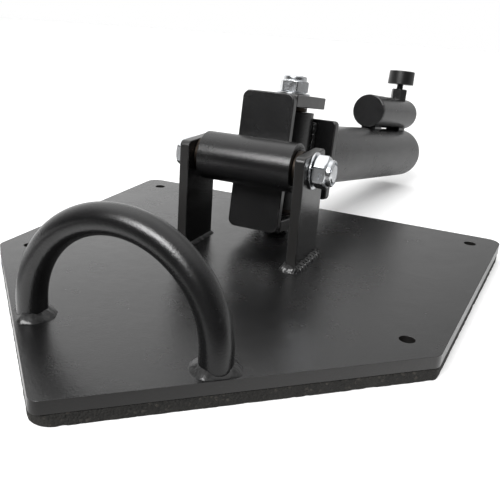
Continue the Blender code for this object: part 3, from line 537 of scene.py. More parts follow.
def lattice_value(cells, seed):
    """A fixed pseudo-random value between -1 and 1 for each cell of a lattice."""
    by_x, by_y, by_z, by_seed, again = SCATTER
    mixed = cells[..., 0] * by_x ^ cells[..., 1] * by_y ^ cells[..., 2] * by_z ^ (seed + 1) * by_seed
    mixed = (mixed ^ (mixed >> 13)) * again & 0x7FFFFFFF
    mixed = mixed ^ (mixed >> 15)
    return (mixed % LATTICE_LEVELS) / (LATTICE_LEVELS - 1) * 2.0 - 1.0


def smooth_noise(points, size, seed):
    """Lattice values of a cell size, blended between the eight corners with 3t^2 - 2t^3."""
    cells = points / size
    base = np.floor(cells).astype(np.int64)
    part = cells - base
    part = part * part * (3.0 - 2.0 * part)
    total = np.zeros(points.shape[:-1])
    for corner in itertools.product((0, 1), repeat=3):
        weights = np.where(np.array(corner) == 1, part, 1.0 - part).prod(-1)
        total += lattice_value(base + np.array(corner), seed) * weights
    return total


def drops(phase):
    """A row of weld drops: each starts as a step and falls off in a quarter circle, about 0 on average."""
    part = phase % 1.0
    return np.sqrt(np.maximum(0.0, 1.0 - part ** 2)) - math.pi / 4


def end_taper(along, length, width):
    """1 in the middle of a weld, falling to 0 at both ends as a quarter circle."""
    to_end = np.clip(np.minimum(along, length - along) / width, 0.0, 1.0)
    return np.sqrt(1.0 - (1.0 - to_end) ** 2)


class WeldLook(NamedTuple):
    """How a fillet weld runs: its forms as shares of its leg, and the size of a lump in metres."""
    ripple: float
    lumps: float
    belly: float
    rise: float
    lump_size: float


def rippled_look():
    return WeldLook(sizes().weld_ripple, sizes().weld_lumps, sizes().weld_belly, rise=1.0, lump_size=0.0045)


def smooth_look():
    return WeldLook(sizes().smooth_ripple, sizes().smooth_lumps, sizes().smooth_belly, rise=0.78,
                    lump_size=0.0042)


def fillet(root, outward, upward, leg, along, seed, closed, look):
    """A fillet weld: at each station a bulging section from the floor to the wall, with drops and lumps.

    The section is leg * (1 - s, rise * s) + belly * sin(pi s), for s from 0 on the floor to 1 on the wall.
    The drops bow forwards in its middle. A last column at the sunk root closes it.
    """
    share = np.linspace(0.0, 1.0, WELD_SECTION_STEPS + 1)
    arch = np.sin(math.pi * share)
    places = np.repeat(root[:, None], len(share), axis=1)
    bowed = along[:, None] / sizes().weld_pitch - FILLET_BOW * arch[None]
    uneven = smooth_noise(places + arch[None, :, None] * LUMP_SHIFT, look.lump_size, seed)
    fine = smooth_noise(places + share[None, :, None] * FINE_LUMP_SHIFT, look.lump_size / 4, seed + 1)
    size = leg[:, None] * (1.0 + look.lumps * uneven + FINE_LUMPS * look.lumps * fine
                           + look.ripple * drops(bowed) * np.sqrt(arch)[None])
    across = (1.0 - share + look.belly * arch)[None] * size
    up = (look.rise * share + look.belly * arch)[None] * size
    sunk = root - (outward + upward) * WELD_SINK
    skin = sunk[:, None] + outward[:, None] * across[..., None] + upward[:, None] * up[..., None]
    points = np.concatenate([skin, sunk[:, None]], 1)
    return grid_surface(points, wrap_rows=closed, wrap_columns=True)


def bead(start, end, radius, seed):
    """A weld bead in a groove: a round section with bowed drops, closed by a quarter circle at each end."""
    own = sizes()
    length = np.linalg.norm(end - start)
    way = (end - start) / length
    middle = np.linspace(0.0, length, round(length / own.weld_pitch * STEPS_PER_DROP))
    side = unit(np.cross(way, SLEEVE_WAY))
    over = np.cross(side, way)
    angle = column_angles(BEAD_COLUMNS)
    around = side * np.cos(angle)[:, None] + over * np.sin(angle)[:, None]
    centres = start + way * middle[:, None]
    places = centres[:, None] + around[None] * radius
    bowed = middle[:, None] / own.weld_pitch - BEAD_BOW * np.cos(2 * angle)[None]
    uneven = BEAD_LUMPS * own.weld_lumps * smooth_noise(places, BEAD_LUMP_SIZE, seed)
    size = radius * end_taper(middle, length, radius)[:, None] * (
        1.0 + own.weld_ripple * drops(bowed) + uneven)
    return grid_surface(centres[:, None] + around[None] * size[..., None], wrap_columns=True)


# Making pieces

def clean_mesh(name, surface):
    """A mesh with its doubled points merged, its marks as attributes and its faces outward."""
    points, faces, marks = surface
    mesh = bpy.data.meshes.new(name)
    mesh.from_pydata(points.tolist(), [], faces)
    for index, mark in enumerate((WEAR_MARK, SIDE_MARK)):
        values = marks[:, index].astype(np.float32)
        mesh.attributes.new(mark, "FLOAT", "POINT").data.foreach_set("value", values)
    shape = bmesh.new()
    shape.from_mesh(mesh)
    bmesh.ops.remove_doubles(shape, verts=shape.verts, dist=MERGE_DISTANCE)
    bmesh.ops.dissolve_degenerate(shape, edges=shape.edges, dist=MERGE_DISTANCE)
    bmesh.ops.recalc_face_normals(shape, faces=shape.faces)
    shape.to_mesh(mesh)
    shape.free()
    return mesh


def make_piece(node, surface, body, finish):
    """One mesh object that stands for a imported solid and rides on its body."""
    mesh = clean_mesh(f"fine_{node}", surface)
    mesh.shade_smooth()
    mesh.set_sharp_from_angle(angle=SHARP_ANGLE)
    mesh.materials.append(finish)
    piece = bpy.data.objects.new(f"fine_{node}", mesh)
    bpy.context.scene.collection.objects.link(piece)
    even = piece.modifiers.new("even_normals", "WEIGHTED_NORMAL")
    even.keep_sharp = True
    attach(piece, body)
    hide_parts(node)


def coated(node, surface, body):
    make_piece(node, surface, body, coat())


def welded(node, surface, body):
    make_piece(node, surface, body, weld_coat())


def plated(node, surface, body):
    make_piece(node, surface, body, zinc())


# Node groups and finishes

class Tree:
    """Short calls for adding nodes to a node tree."""

    def __init__(self, tree):
        self.tree = tree

    def feed(self, socket, value):
        if isinstance(value, bpy.types.NodeSocket):
            self.tree.links.new(value, socket)
        else:
            socket.default_value = value

    def add(self, kind, inputs=None, **settings):
        made = self.tree.nodes.new(kind)
        for name, value in settings.items():
            setattr(made, name, value)
        for name, value in (inputs or {}).items():
            self.feed(made.inputs[name], value)
        return made

    def maths(self, operation, first, second=0.0, third=0.0):
        return self.add("ShaderNodeMath", {0: first, 1: second, 2: third}, operation=operation).outputs[0]

    def stretch(self, value, low, high, to_low=0.0, to_high=1.0):
        """Maps one range to another and stops at its ends."""
        return self.add("ShaderNodeMapRange", {"Value": value, "From Min": low, "From Max": high,
                                               "To Min": to_low, "To Max": to_high}).outputs[0]

    def noise(self, vector, size, detail=2.0, roughness=0.5):
        """Noise whose lumps have about the given size in metres."""
        scale = self.maths("DIVIDE", 1.0, size)
        return self.add("ShaderNodeTexNoise", {"Vector": vector, "Scale": scale, "Detail": detail,
                                               "Roughness": roughness}).outputs["Fac"]

    def mix(self, factor, first, second):
        made = self.add("ShaderNodeMix", {"Factor": factor}, data_type="RGBA")
        self.feed(made.inputs[6], first)
        self.feed(made.inputs[7], second)
        return made.outputs[2]

    def mark(self, name):
        made = self.add("ShaderNodeAttribute", attribute_name=name, attribute_type="GEOMETRY")
        return made.outputs["Fac"]

    def object_place(self):
        return self.add("ShaderNodeTexCoord").outputs["Object"]

    def clouds(self, size, detail=4.0, roughness=0.6):
        """Noise on the object's own coordinates."""
        return self.noise(self.object_place(), size, detail, roughness)

    def group(self, group, **inputs):
        made = self.add("ShaderNodeGroup", node_tree=group)
        for label, value in inputs.items():
            self.feed(made.inputs[label.replace("_", " ")], value)
        return made.outputs


def shared_group(name, inputs, outputs, fill):
    """A node group with float inputs (name: default) and float outputs, made when it is first asked for."""
    group = bpy.data.node_groups.get(name)
    if group:
        return group
    group = bpy.data.node_groups.new(name, "ShaderNodeTree")
    for label, value in inputs.items():
        socket = group.interface.new_socket(label, in_out="INPUT", socket_type="NodeSocketFloat")
        socket.default_value = value
    for label in outputs:
        group.interface.new_socket(label, in_out="OUTPUT", socket_type="NodeSocketFloat")
    tree = Tree(group)
    source = tree.add("NodeGroupInput").outputs
    result = tree.add("NodeGroupOutput").inputs
    where = tree.add("ShaderNodeTexCoord").outputs
    for label, value in fill(tree, source, where).items():
        tree.feed(result[label], value)
    return group


def surface_grain():
    """Fine orange-peel grain on broader waves, and sparse flecks."""
    def fill(tree, source, where):
        grain = tree.noise(where["Object"], source["Grain Size"], 3.0, 0.6)
        waves = tree.noise(where["Object"], source["Wave Size"], 1.0)
        flecks = tree.noise(where["Object"], tree.maths("MULTIPLY", source["Grain Size"], 2.5), 1.0)
        height = tree.maths("MULTIPLY_ADD", grain, source["Grain Depth"],
                            tree.maths("MULTIPLY", waves, source["Wave Depth"]))
        return {"Height": height, "Fleck": tree.stretch(flecks, 0.70, 0.78)}
    return shared_group("surface_grain", {"Grain Size": 0.001, "Grain Depth": 1.0, "Wave Size": 0.01,
                                          "Wave Depth": 0.5}, ("Height", "Fleck"), fill)


def worn_edges():
    """Where rims and edges are rubbed: the wear mark, broken up by noise."""
    def fill(tree, source, where):
        patches = tree.stretch(tree.noise(where["Object"], source["Patch Size"], 4.0, 0.65), 0.42, 0.62)
        worn = tree.maths("MULTIPLY", tree.mark(WEAR_MARK), patches)
        return {"Mask": tree.maths("MULTIPLY", worn, source["Amount"])}
    return shared_group("worn_edges", {"Amount": 0.5, "Patch Size": 0.006}, ("Mask",), fill)


def settled_dust():
    """A thin film of dust on what faces up, thicker in clouds."""
    def fill(tree, source, where):
        facing = tree.add("ShaderNodeSeparateXYZ", {"Vector": where["Normal"]}).outputs["Z"]
        clouds = tree.noise(where["Object"], source["Cloud Size"], 5.0, 0.6)
        film = tree.maths("MULTIPLY", tree.stretch(facing, 0.3, 1.0), tree.stretch(clouds, 0.35, 0.75))
        return {"Mask": tree.maths("MULTIPLY", film, source["Amount"])}
    return shared_group("settled_dust", {"Amount": 0.2, "Cloud Size": 0.04}, ("Mask",), fill)


def fine_scratches():
    """Thin rubbed lines: noise drawn out along three ways, cut to its narrow crests, in some places."""
    def fill(tree, source, where):
        lines = 0.0
        for turn in SCRATCH_TURNS:
            drawn_out = tree.add("ShaderNodeMapping", {"Vector": where["Object"],
                                                       "Rotation": (0.1, 0.05, turn),
                                                       "Scale": SCRATCH_SQUEEZE}).outputs[0]
            ridge = tree.maths("SUBTRACT", tree.noise(drawn_out, source["Length"]), 0.5)
            crest = tree.stretch(tree.maths("ABSOLUTE", ridge), 0.0, 0.006, 1.0, 0.0)
            lines = tree.maths("MAXIMUM", lines, crest)
        places = tree.stretch(tree.noise(where["Object"], 0.045), 0.52, 0.66)
        return {"Mask": tree.maths("MULTIPLY", tree.maths("MULTIPLY", lines, places), source["Amount"])}
    return shared_group("fine_scratches", {"Amount": 0.3, "Length": 0.03}, ("Mask",), fill)


def rgba(colour, scale=1.0):
    return tuple(min(1.0, part * scale) for part in colour) + (1.0,)


def new_finish(name, roughness, metallic=0.0, **constants):
    """A material whose constant values are set on the shader itself."""
    made = bpy.data.materials.new(name)
    made.use_nodes = True
    shader = made.node_tree.nodes["Principled BSDF"]
    shader.inputs["Roughness"].default_value = roughness
    shader.inputs["Metallic"].default_value = metallic
    for label, value in constants.items():
        shader.inputs[label.replace("_", " ")].default_value = value
    return made, Tree(made.node_tree), shader.inputs


def bumped(tree, sockets, height, depth):
    """Feeds a height pattern to the shader's normal, with its depth in metres."""
    bump = tree.add("ShaderNodeBump", {"Height": height, "Distance": depth})
    tree.feed(sockets["Normal"], bump.outputs[0])


def made_once(make):
    """Has a finish made when its name is first asked for, and found by that name afterwards."""
    @functools.wraps(make)
    def finish(name, *settings, **named_settings):
        return bpy.data.materials.get(name) or make(name, *settings, **named_settings)
    return finish


@made_once
def powder_coat(name, roughness, grain_depth, scratches, dust):
    """Black powder coat: orange-peel grain, flecks, rubbed edges, fine scratches and a film of dust."""
    colour = finishes().coat_colour
    made, tree, sockets = new_finish(name, roughness)
    grain = tree.group(surface_grain(), Grain_Size=0.0013, Grain_Depth=grain_depth, Wave_Size=0.012,
                       Wave_Depth=0.9)
    wear = tree.group(worn_edges(), Amount=0.55, Patch_Size=0.007)["Mask"]
    film = tree.group(settled_dust(), Amount=dust, Cloud_Size=0.05)["Mask"]
    lines = tree.group(fine_scratches(), Amount=scratches, Length=0.03)["Mask"]
    clouds = tree.clouds(0.035)
    side = tree.mark(SIDE_MARK)
    tint = tree.mix(clouds, rgba(colour, 0.85), rgba(colour, 1.2))
    tint = tree.mix(grain["Fleck"], tint, rgba(colour, 2.4))
    tint = tree.mix(tree.maths("MULTIPLY", side, 0.5), tint, CUT_EDGE)
    tint = tree.mix(wear, tint, RUBBED)
    tint = tree.mix(lines, tint, SCRATCHED)
    tree.feed(sockets["Base Color"], tree.mix(film, tint, DUST))
    shine = tree.stretch(clouds, 0.3, 0.7, roughness - 0.035, roughness + 0.035)
    shine = tree.maths("MULTIPLY_ADD", film, 0.5, shine)
    shine = tree.maths("MULTIPLY_ADD", side, 0.06, shine)
    tree.feed(sockets["Roughness"], tree.maths("MULTIPLY_ADD", wear, -0.10, shine))
    bumped(tree, sockets, grain["Height"], COAT_RELIEF)
    return made


def coat():
    return powder_coat("satin_black_coat", finishes().coat_roughness, grain_depth=1.0, scratches=0.03,
                       dust=0.02)


def weld_coat():
    return powder_coat("weld_black_coat", finishes().weld_roughness, grain_depth=1.2, scratches=0.0,
                       dust=0.04)


def rubber():
    """Pressed rubber granules: crumbs of several tones, pale bits, and a torn, pitted surface."""
    colour = finishes().rubber_colour
    made, tree, sockets = new_finish("granulated_rubber", 0.88, Specular_IOR_Level=0.35)
    where = tree.object_place()
    crumbs = tree.add("ShaderNodeTexVoronoi", {"Vector": where, "Scale": 620.0}).outputs
    tone = tree.add("ShaderNodeSeparateXYZ", {"Vector": crumbs["Color"]}).outputs["X"]
    tint = tree.mix(tone, rgba(colour, 0.55), rgba(colour, 1.5))
    tint = tree.mix(tree.stretch(tone, 0.90, 0.94), tint, PALE_CRUMB)
    clouds = tree.stretch(tree.noise(where, 0.02, 4.0, 0.6), 0.45, 0.75)
    tree.feed(sockets["Base Color"], tree.mix(clouds, tint, rgba(colour, 1.6)))
    tree.feed(sockets["Roughness"], tree.stretch(tone, 0.0, 1.0, 0.80, 0.96))
    height = tree.maths("MULTIPLY_ADD", crumbs["Distance"], -0.9, tree.noise(where, 0.0022, 5.0, 0.7))
    bumped(tree, sockets, height, RUBBER_RELIEF)
    return made


@made_once
def metal(name, colour, roughness, stain, stain_amount, pore_depth):
    """A bare or plated metal: cloudy stains, uneven shine, fine pores and rubbed edges."""
    made, tree, sockets = new_finish(name, roughness, 1.0)
    clouds = tree.clouds(0.006, 5.0, 0.65)
    grain = tree.group(surface_grain(), Grain_Size=0.0006, Grain_Depth=pore_depth, Wave_Size=0.004,
                       Wave_Depth=pore_depth)
    wear = tree.group(worn_edges(), Amount=0.7, Patch_Size=0.003)["Mask"]
    stained = tree.maths("MULTIPLY", tree.stretch(clouds, 0.45, 0.7), stain_amount)
    tint = tree.mix(stained, rgba(colour), stain)
    tint = tree.mix(tree.maths("MULTIPLY", grain["Fleck"], 0.5), tint, rgba(colour, 0.5))
    tree.feed(sockets["Base Color"], tree.mix(wear, tint, rgba(colour, 1.15)))
    tree.feed(sockets["Roughness"], tree.stretch(clouds, 0.3, 0.7, roughness - 0.05, roughness + 0.09))
    bumped(tree, sockets, grain["Height"], METAL_RELIEF)
    return made


def zinc():
    return metal("bright_zinc", finishes().zinc_colour, roughness=0.21, stain=ZINC_STAIN, stain_amount=0.35,
                 pore_depth=0.15)


def bronze():
    return metal("sintered_bronze", finishes().bronze_colour, roughness=0.45, stain=BRONZE_STAIN,
                 stain_amount=0.7, pore_depth=1.5)


def dark_steel():
    return metal("blackened_steel", finishes().screw_colour, roughness=0.34, stain=STEEL_STAIN,
                 stain_amount=0.6, pore_depth=0.8)


@made_once
def plastic(name, colour, roughness, grain_size, grain_depth):
    """Moulded plastic: a fine eroded texture, a slightly uneven shine and paler rubbed edges."""
    made, tree, sockets = new_finish(name, roughness)
    clouds = tree.clouds(0.009)
    grain = tree.group(surface_grain(), Grain_Size=grain_size, Grain_Depth=grain_depth, Wave_Size=0.008,
                       Wave_Depth=0.6)
    wear = tree.group(worn_edges(), Amount=0.5, Patch_Size=0.004)["Mask"]
    tint = tree.mix(clouds, rgba(colour, 0.85), rgba(colour, 1.2))
    tree.feed(sockets["Base Color"], tree.mix(wear, tint, rgba(colour, 1.9)))
    tree.feed(sockets["Roughness"], tree.stretch(clouds, 0.3, 0.7, roughness - 0.04, roughness + 0.05))
    bumped(tree, sockets, grain["Height"], PLASTIC_RELIEF)
    return made


def nylon():
    return plastic("pale_nylon", finishes().nylon_colour, roughness=0.42, grain_size=0.0008,
                   grain_depth=0.5)


def knob_plastic():
    return plastic("knob_plastic", finishes().knob_colour, roughness=0.33, grain_size=0.0007,
                   grain_depth=0.9)


# Base

def five_corners(node):
    """The sharp corners of the plate's or mat's outline and their radii, found from its straight sides."""
    flat = node_points(node)[:, :2]
    hull = flat[np.array(convex_hull_2d([Vector(point) for point in flat]))]
    if np.sum(hull[:, 0] * np.roll(hull[:, 1], -1) - np.roll(hull[:, 0], -1) * hull[:, 1]) < 0:
        hull = hull[::-1]
    ends = np.roll(hull, -1, axis=0)
    ways = ends - hull
    sides = sorted(np.argsort(-np.linalg.norm(ways, axis=1))[:5])
    corners = []
    for here, after in zip(sides, sides[1:] + sides[:1]):
        share = np.linalg.solve(np.column_stack([ways[here], -ways[after]]), hull[after] - hull[here])[0]
        corner = hull[here] + ways[here] * share
        turn = math.acos(np.clip(unit(ways[here]) @ unit(ways[after]), -1.0, 1.0))
        radius = np.linalg.norm(corner - ends[here]) / math.tan(turn / 2)
        corners.append((corner[0], corner[1], radius))
    return corners


def floor_holes(node):
    """The middle and radius of each fixing hole, found from the openings in the record."""
    flat = node_points(node)[:, :2]
    holes = []
    for opening in RECORD["physics"]["openings"]:
        if opening["name"].startswith("hole_"):
            centre = np.mean(opening["box_m"], axis=0)[:2]
            holes.append((centre[0], centre[1], np.linalg.norm(flat - centre, axis=1).min()))
    return holes


def five_sided(node, rounding, spacing=None, side_rows=1, push=None):
    """The plate or the mat at its own height, its outline sampled evenly where a spacing is given."""
    found = Measure(node, WORLD)
    outline, normals, _ = rounded_outline(five_corners(node))
    if spacing:
        outline, normals, _ = evenly(outline, normals, spacing)
    loops = [(outline, normals)] + [hole_loop(*hole) for hole in floor_holes(node)]
    return raised_in(prism(loops, found.size[2], rounding, side_rows, push), WORLD, (0, 1, 2), found.low[2])


def crumbled(points):
    """How far the mat's cut edge is pushed out: coarse and fine noise, less sparse notches at its rims."""
    own = sizes()
    coarse, fine = smooth_noise(points, COARSE_TEAR, 11), smooth_noise(points, FINE_TEAR, 12)
    uneven = COARSE_SHARE * coarse + (1.0 - COARSE_SHARE) * fine
    near_rim = np.abs(points[..., 2] / points[..., 2].max() - 0.5) * 2
    notches = smooth_noise(points * NOTCH_STRETCH, NOTCH_SIZE, 13)
    sparse = np.maximum(0.0, notches - NOTCH_SPARSITY) / (1.0 - NOTCH_SPARSITY)
    return own.mat_ragged * uneven - own.mat_notch * sparse * near_rim ** 3


class PIVOTBASE_OT_plate(bpy.types.Operator):
    """Makes the five-sided steel plate with its four fixing holes"""
    bl_idname = "pivot_base.plate"
    bl_label = "Base Plate"

    def execute(self, context):
        coated("base_plate", five_sided("base_plate", sizes().plate_rounding), "base")
        return {"FINISHED"}


class PIVOTBASE_OT_mat(bpy.types.Operator):
    """Makes the rubber mat with its torn, granular edge"""
    bl_idname = "pivot_base.mat"
    bl_label = "Rubber Mat"

    def execute(self, context):
        surface = five_sided("rubber_mat", sizes().mat_rounding, MAT_SPACING, MAT_ROWS, crumbled)
        make_piece("rubber_mat", surface, "base", rubber())
        return {"FINISHED"}


class PIVOTBASE_OT_uprights(bpy.types.Operator):
    """Makes the two flat bars that carry the pivot bolt"""
    bl_idname = "pivot_base.uprights"
    bl_label = "Uprights"

    def execute(self, context):
        foot, corner = sizes().bar_rounding, sizes().upright_corner
        pivot = joint("yoke_pitch")["pos_m"]
        for node in ("left_upright", "right_upright"):
            hole = (pivot[1], pivot[2], Measure(node, BOLT).bore)
            coated(node, bar(node, WORLD, (1, 2, 0), (foot, foot, corner, corner), [hole]), "base")
        return {"FINISHED"}


def handle_measures():
    """Tube radius, half the span, the heights where the bend and the foot start, and the handle's Y."""
    found = Measure("carry_handle", WORLD)
    radius = found.size[1] / 2
    half_span = found.high[0] - radius
    return radius, half_span, found.high[2] - radius - half_span, found.low[2], found.centre[1]


def handle_surface():
    """Straight legs and half a circle, with a round section that the bend makes slightly oval."""
    radius, half_span, bend_z, foot_z, y = handle_measures()
    turn = np.linspace(math.pi, 0.0, HANDLE_STATIONS)
    outward = np.stack([np.cos(turn), turn * 0.0, np.sin(turn)], -1)
    centres = np.array([0.0, y, bend_z]) + outward * half_span
    foot = np.array([0.0, 0.0, foot_z - bend_z])
    centres = np.concatenate([centres[:1] + foot, centres, centres[-1:] + foot])
    outward = np.concatenate([outward[:1], outward, outward[-1:]])
    flatter = radius * (1.0 - sizes().handle_oval * outward[:, 2])
    angle = column_angles()
    points = (centres[:, None] + outward[:, None] * (np.cos(angle)[None] * flatter[:, None])[..., None]
              + Y_AXIS * (np.sin(angle) * radius)[None, :, None])
    ends = [np.repeat(centre[None, None], len(angle), axis=1) for centre in (centres[0], centres[-1])]
    return grid_surface(np.concatenate([ends[0], points, ends[1]]), wrap_columns=True)


class PIVOTBASE_OT_handle(bpy.types.Operator):
    """Makes the bent tube handle"""
    bl_idname = "pivot_base.handle"
    bl_label = "Carrying Handle"

    def execute(self, context):
        coated("carry_handle", handle_surface(), "base")
        return {"FINISHED"}


def smoothed(values, reach):
    """A closed row of values, each averaged with its neighbours within a reach, the near ones more."""
    weights = np.hanning(2 * reach + 3)[1:-1]
    around = np.concatenate([values[-reach:], values, values[:reach]])
    return np.convolve(around, weights / weights.sum(), "valid")


def ring_weld(node, place, radius, seed, look):
    """A fillet weld round a tube's foot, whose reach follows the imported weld."""
    found = Measure(node, place)
    on_foot = (found.heights < found.low[2] + SAME) & (found.radii > radius + 10 * SAME)
    toe = found.points[on_foot]
    toe = toe[np.argsort(np.arctan2(toe[:, 1], toe[:, 0]))]
    angle = column_angles(round(math.tau * found.outer / sizes().weld_pitch * STEPS_PER_DROP))
    leg = np.interp(angle, np.arctan2(toe[:, 1], toe[:, 0]), np.hypot(toe[:, 0], toe[:, 1]) - radius,
                    period=math.tau)
    leg = smoothed(leg, len(leg) // RING_PARTS)
    outward = np.stack([np.cos(angle), np.sin(angle), angle * 0.0], -1)
    root = outward * radius + Z_AXIS * found.low[2]
    upward = np.broadcast_to(Z_AXIS, outward.shape)
    return moved(fillet(root, outward, upward, leg, angle * found.outer, seed, True, look), place)


class PIVOTBASE_OT_handle_welds(bpy.types.Operator):
    """Makes the rings of weld at the handle's feet"""
    bl_idname = "pivot_base.handle_welds"
    bl_label = "Handle Welds"

    def execute(self, context):
        radius, half_span, _, _, y = handle_measures()
        for node, side, seed in (("left_handle_weld", -1, 21), ("right_handle_weld", 1, 27)):
            place = place_at((side * half_span, y, 0.0), Z_AXIS, X_AXIS)
            welded(node, ring_weld(node, place, radius, seed, smooth_look()), "base")
        return {"FINISHED"}


def foot_weld(node, upright, seed, share, look):
    """A fillet weld round an upright's foot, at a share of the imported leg, whose root lies a leg inside."""
    found = Measure(node, WORLD)
    foot = Measure(upright, WORLD)
    leg = (found.size[1] - foot.size[1]) / 2
    round_by = leg + sizes().bar_rounding
    low, high = foot.low - leg, foot.high + leg
    toe, normals, _ = rounded_outline([(low[0], low[1], round_by), (high[0], low[1], round_by),
                                       (high[0], high[1], round_by), (low[0], high[1], round_by)])
    toe, normals, along = evenly(toe, normals, sizes().weld_pitch / STEPS_PER_DROP)
    outward = np.column_stack([normals, np.zeros(len(toe))])
    root = np.column_stack([toe, np.full(len(toe), found.low[2])]) - outward * leg
    upward = np.broadcast_to(Z_AXIS, outward.shape)
    return fillet(root, outward, upward, np.full(len(toe), leg * share), along, seed, True, look)


class PIVOTBASE_OT_upright_welds(bpy.types.Operator):
    """Makes the welds round the uprights' feet"""
    bl_idname = "pivot_base.upright_welds"
    bl_label = "Upright Welds"

    def execute(self, context):
        for side, seed, share, look in (("left", 31, 0.6, smooth_look()),
                                        ("right", 37, 0.85, rippled_look())):
            node = f"{side}_upright_weld"
            welded(node, foot_weld(node, f"{side}_upright", seed, share, look), "base")
        return {"FINISHED"}


# Bolts, nuts, washers and bushes

def hexagon_radius(flat):
    """The radius of a hexagon with soft corners: flat / (sum of cos^p to its six sides)^(1/p)."""
    facing = column_angles()[:, None] - np.arange(6)[None] * math.tau / 6 - math.tau / 12
    closeness = np.maximum(np.cos(facing), 0.0)
    return flat / (closeness ** HEXAGON_POWER).sum(1) ** (1.0 / HEXAGON_POWER)


def hexagon_end(flat, height, way):
    """Rings from a hexagon's end face over its 30 degree chamfer to its sides."""
    hexagon = hexagon_radius(flat)
    start = flat * CHAMFER_START
    drop = (flat * 2 / math.sqrt(3) - start) * CHAMFER_SLOPE
    rings = [(start - FACE_MARGIN, height, 0.0)]
    for share in np.linspace(0.0, 1.0, CHAMFER_STEPS + 1):
        depth = drop * share
        radius = np.minimum(hexagon, start + depth / CHAMFER_SLOPE)
        rings.append((radius, height + way * depth, CHAMFER_WEAR * (share < 0.9)))
    return rings


def thread_rings(outer, low, high, pitch, depth):
    """Rings of a screw thread: r = outer - depth * (1 - ridge), whose ridge climbs a pitch each turn."""
    turn = column_angles() / math.tau
    rings = []
    for height in np.linspace(low, high, max(2, round((high - low) / pitch * STEPS_PER_THREAD))):
        ridge = CREST * (1.0 - np.abs(2.0 * ((height / pitch - turn) % 1.0) - 1.0))
        rings.append((outer - depth * (1.0 - np.minimum(1.0, ridge)), height, 0.0))
    return rings


def threaded_end(shank, high):
    """A bolt's last turns of thread and its chamfered end."""
    pitch = sizes().bolt_pitch
    depth = pitch * BOLT_DEPTH
    rings = thread_rings(shank, high - END_TURNS * pitch, high - depth, pitch, depth)
    return rings + [(shank - END_CHAMFER * depth, high, END_WEAR), (0.0, high, 0.0)]


def hexagon_bolt(node, place):
    """A hexagon head at the low end, a shank, and a threaded, chamfered end."""
    place = spun_to_corner(node, place)
    found = Measure(node, place)
    small = sizes().fine_rounding
    shank = found.radii_between(0.5, 1.0).max()
    under = found.heights[found.radii > shank * 1.2].max()
    flat = found.outer * math.sqrt(3) / 2
    hexagon = hexagon_radius(flat)
    rings = [(0.0, found.low[2], 0.0)] + hexagon_end(flat, found.low[2], 1)
    rings += [(hexagon, under - small, 0.0), (hexagon - small, under, 0.0), (shank + small, under, 0.0),
              (shank, under + small, 0.0)]
    return moved(ring_stack(rings + threaded_end(shank, found.high[2])), place)


def round_head_bolt(node, place):
    """A low domed head at the low end, a shank, and a threaded, chamfered end."""
    found = Measure(node, place)
    small = sizes().fine_rounding
    low = found.low[2]
    shank = found.radii_between(0.5, 1.0).max()
    rim_low, under = found.heights_at(found.outer)
    flat = found.radii[found.heights < low + small].max()
    rings = [(0.0, low, 0.0)]
    for angle in quarter_turn(DOME_STEPS):
        radius = flat + (found.outer - flat) * math.sin(angle)
        rings.append((radius, rim_low - (rim_low - low) * math.cos(angle), 0.0))
    rings += [(found.outer, under - small, HEAD_WEAR), (found.outer - small, under, 0.0),
              (shank, under, 0.0)]
    return moved(ring_stack(rings + threaded_end(shank, found.high[2])), place)


def lock_nut(node, place):
    """A hexagon with two chamfered ends and a round collar that curls over its nylon ring."""
    place = spun_to_corner(node, place)
    found = Measure(node, place)
    small = sizes().fine_rounding
    low, high = found.low[2], found.high[2]
    upper_end = found.radii_between(0.9, 1.0)
    pocket, collar = upper_end.min(), upper_end.max()
    hexagon_top = found.heights[found.radii > collar * 1.06].max()
    ledge = found.heights_at(pocket)[0]
    flat = found.outer * math.sqrt(3) / 2
    rings = [(found.bore, ledge, 0.0), (found.bore, low + small, 0.0), (found.bore + small, low, 0.0)]
    rings += hexagon_end(flat, low, 1) + hexagon_end(flat, hexagon_top, -1)[:0:-1]
    rings += [(collar + small, hexagon_top, 0.0), (collar, hexagon_top + small, 0.0)]
    curl = (high - hexagon_top) * COLLAR_CURL
    for angle in quarter_turn(CURL_STEPS):
        rings.append((collar - curl * (1 - math.cos(angle)), high - curl * (1 - math.sin(angle)),
                      math.sin(2 * angle)))
    rings += [(pocket, high - small / 2, 0.0), (pocket, ledge, 0.0)]
    return moved(ring_stack(rings, closed=True), place)


class PIVOTBASE_OT_fasteners(bpy.types.Operator):
    """Makes both bolts with their washers, lock nuts and nylon rings"""
    bl_idname = "pivot_base.fasteners"
    bl_label = "Fasteners"

    def execute(self, context):
        small = sizes().fine_rounding
        plated("pivot_bolt", hexagon_bolt("pivot_bolt", BOLT), "base")
        plated("swivel_bolt", round_head_bolt("swivel_bolt", SWIVEL), "yoke")
        for pivot, place, body in (("pivot", BOLT, "base"), ("swivel", SWIVEL, "yoke")):
            nut, washer, ring = f"{pivot}_nut", f"{pivot}_nut_washer", f"{pivot}_nut_insert"
            plated(washer, plain_ring(washer, place, small), body)
            plated(nut, lock_nut(nut, place), body)
            make_piece(ring, plain_ring(ring, place, small), body, nylon())
        return {"FINISHED"}


def flanged_bush(node, place):
    """A barrel with a flange at whichever end is wider."""
    found = Measure(node, place)
    small = sizes().fine_rounding
    low, high = found.low[2], found.high[2]
    flange_low, flange_high = found.heights_at(found.outer)
    if flange_low > found.centre[2]:
        barrel = found.radii_between(0.0, 0.1).max()
        outside = [(barrel, low, small), (barrel, flange_low, 0), (found.outer, flange_low, small),
                   (found.outer, high, small)]
    else:
        barrel = found.radii_between(0.9, 1.0).max()
        outside = [(found.outer, low, small), (found.outer, flange_high, small), (barrel, flange_high, 0),
                   (barrel, high, small)]
    corners = [(found.bore, low, small)] + outside + [(found.bore, high, small)]
    return moved(turned(corners), place)


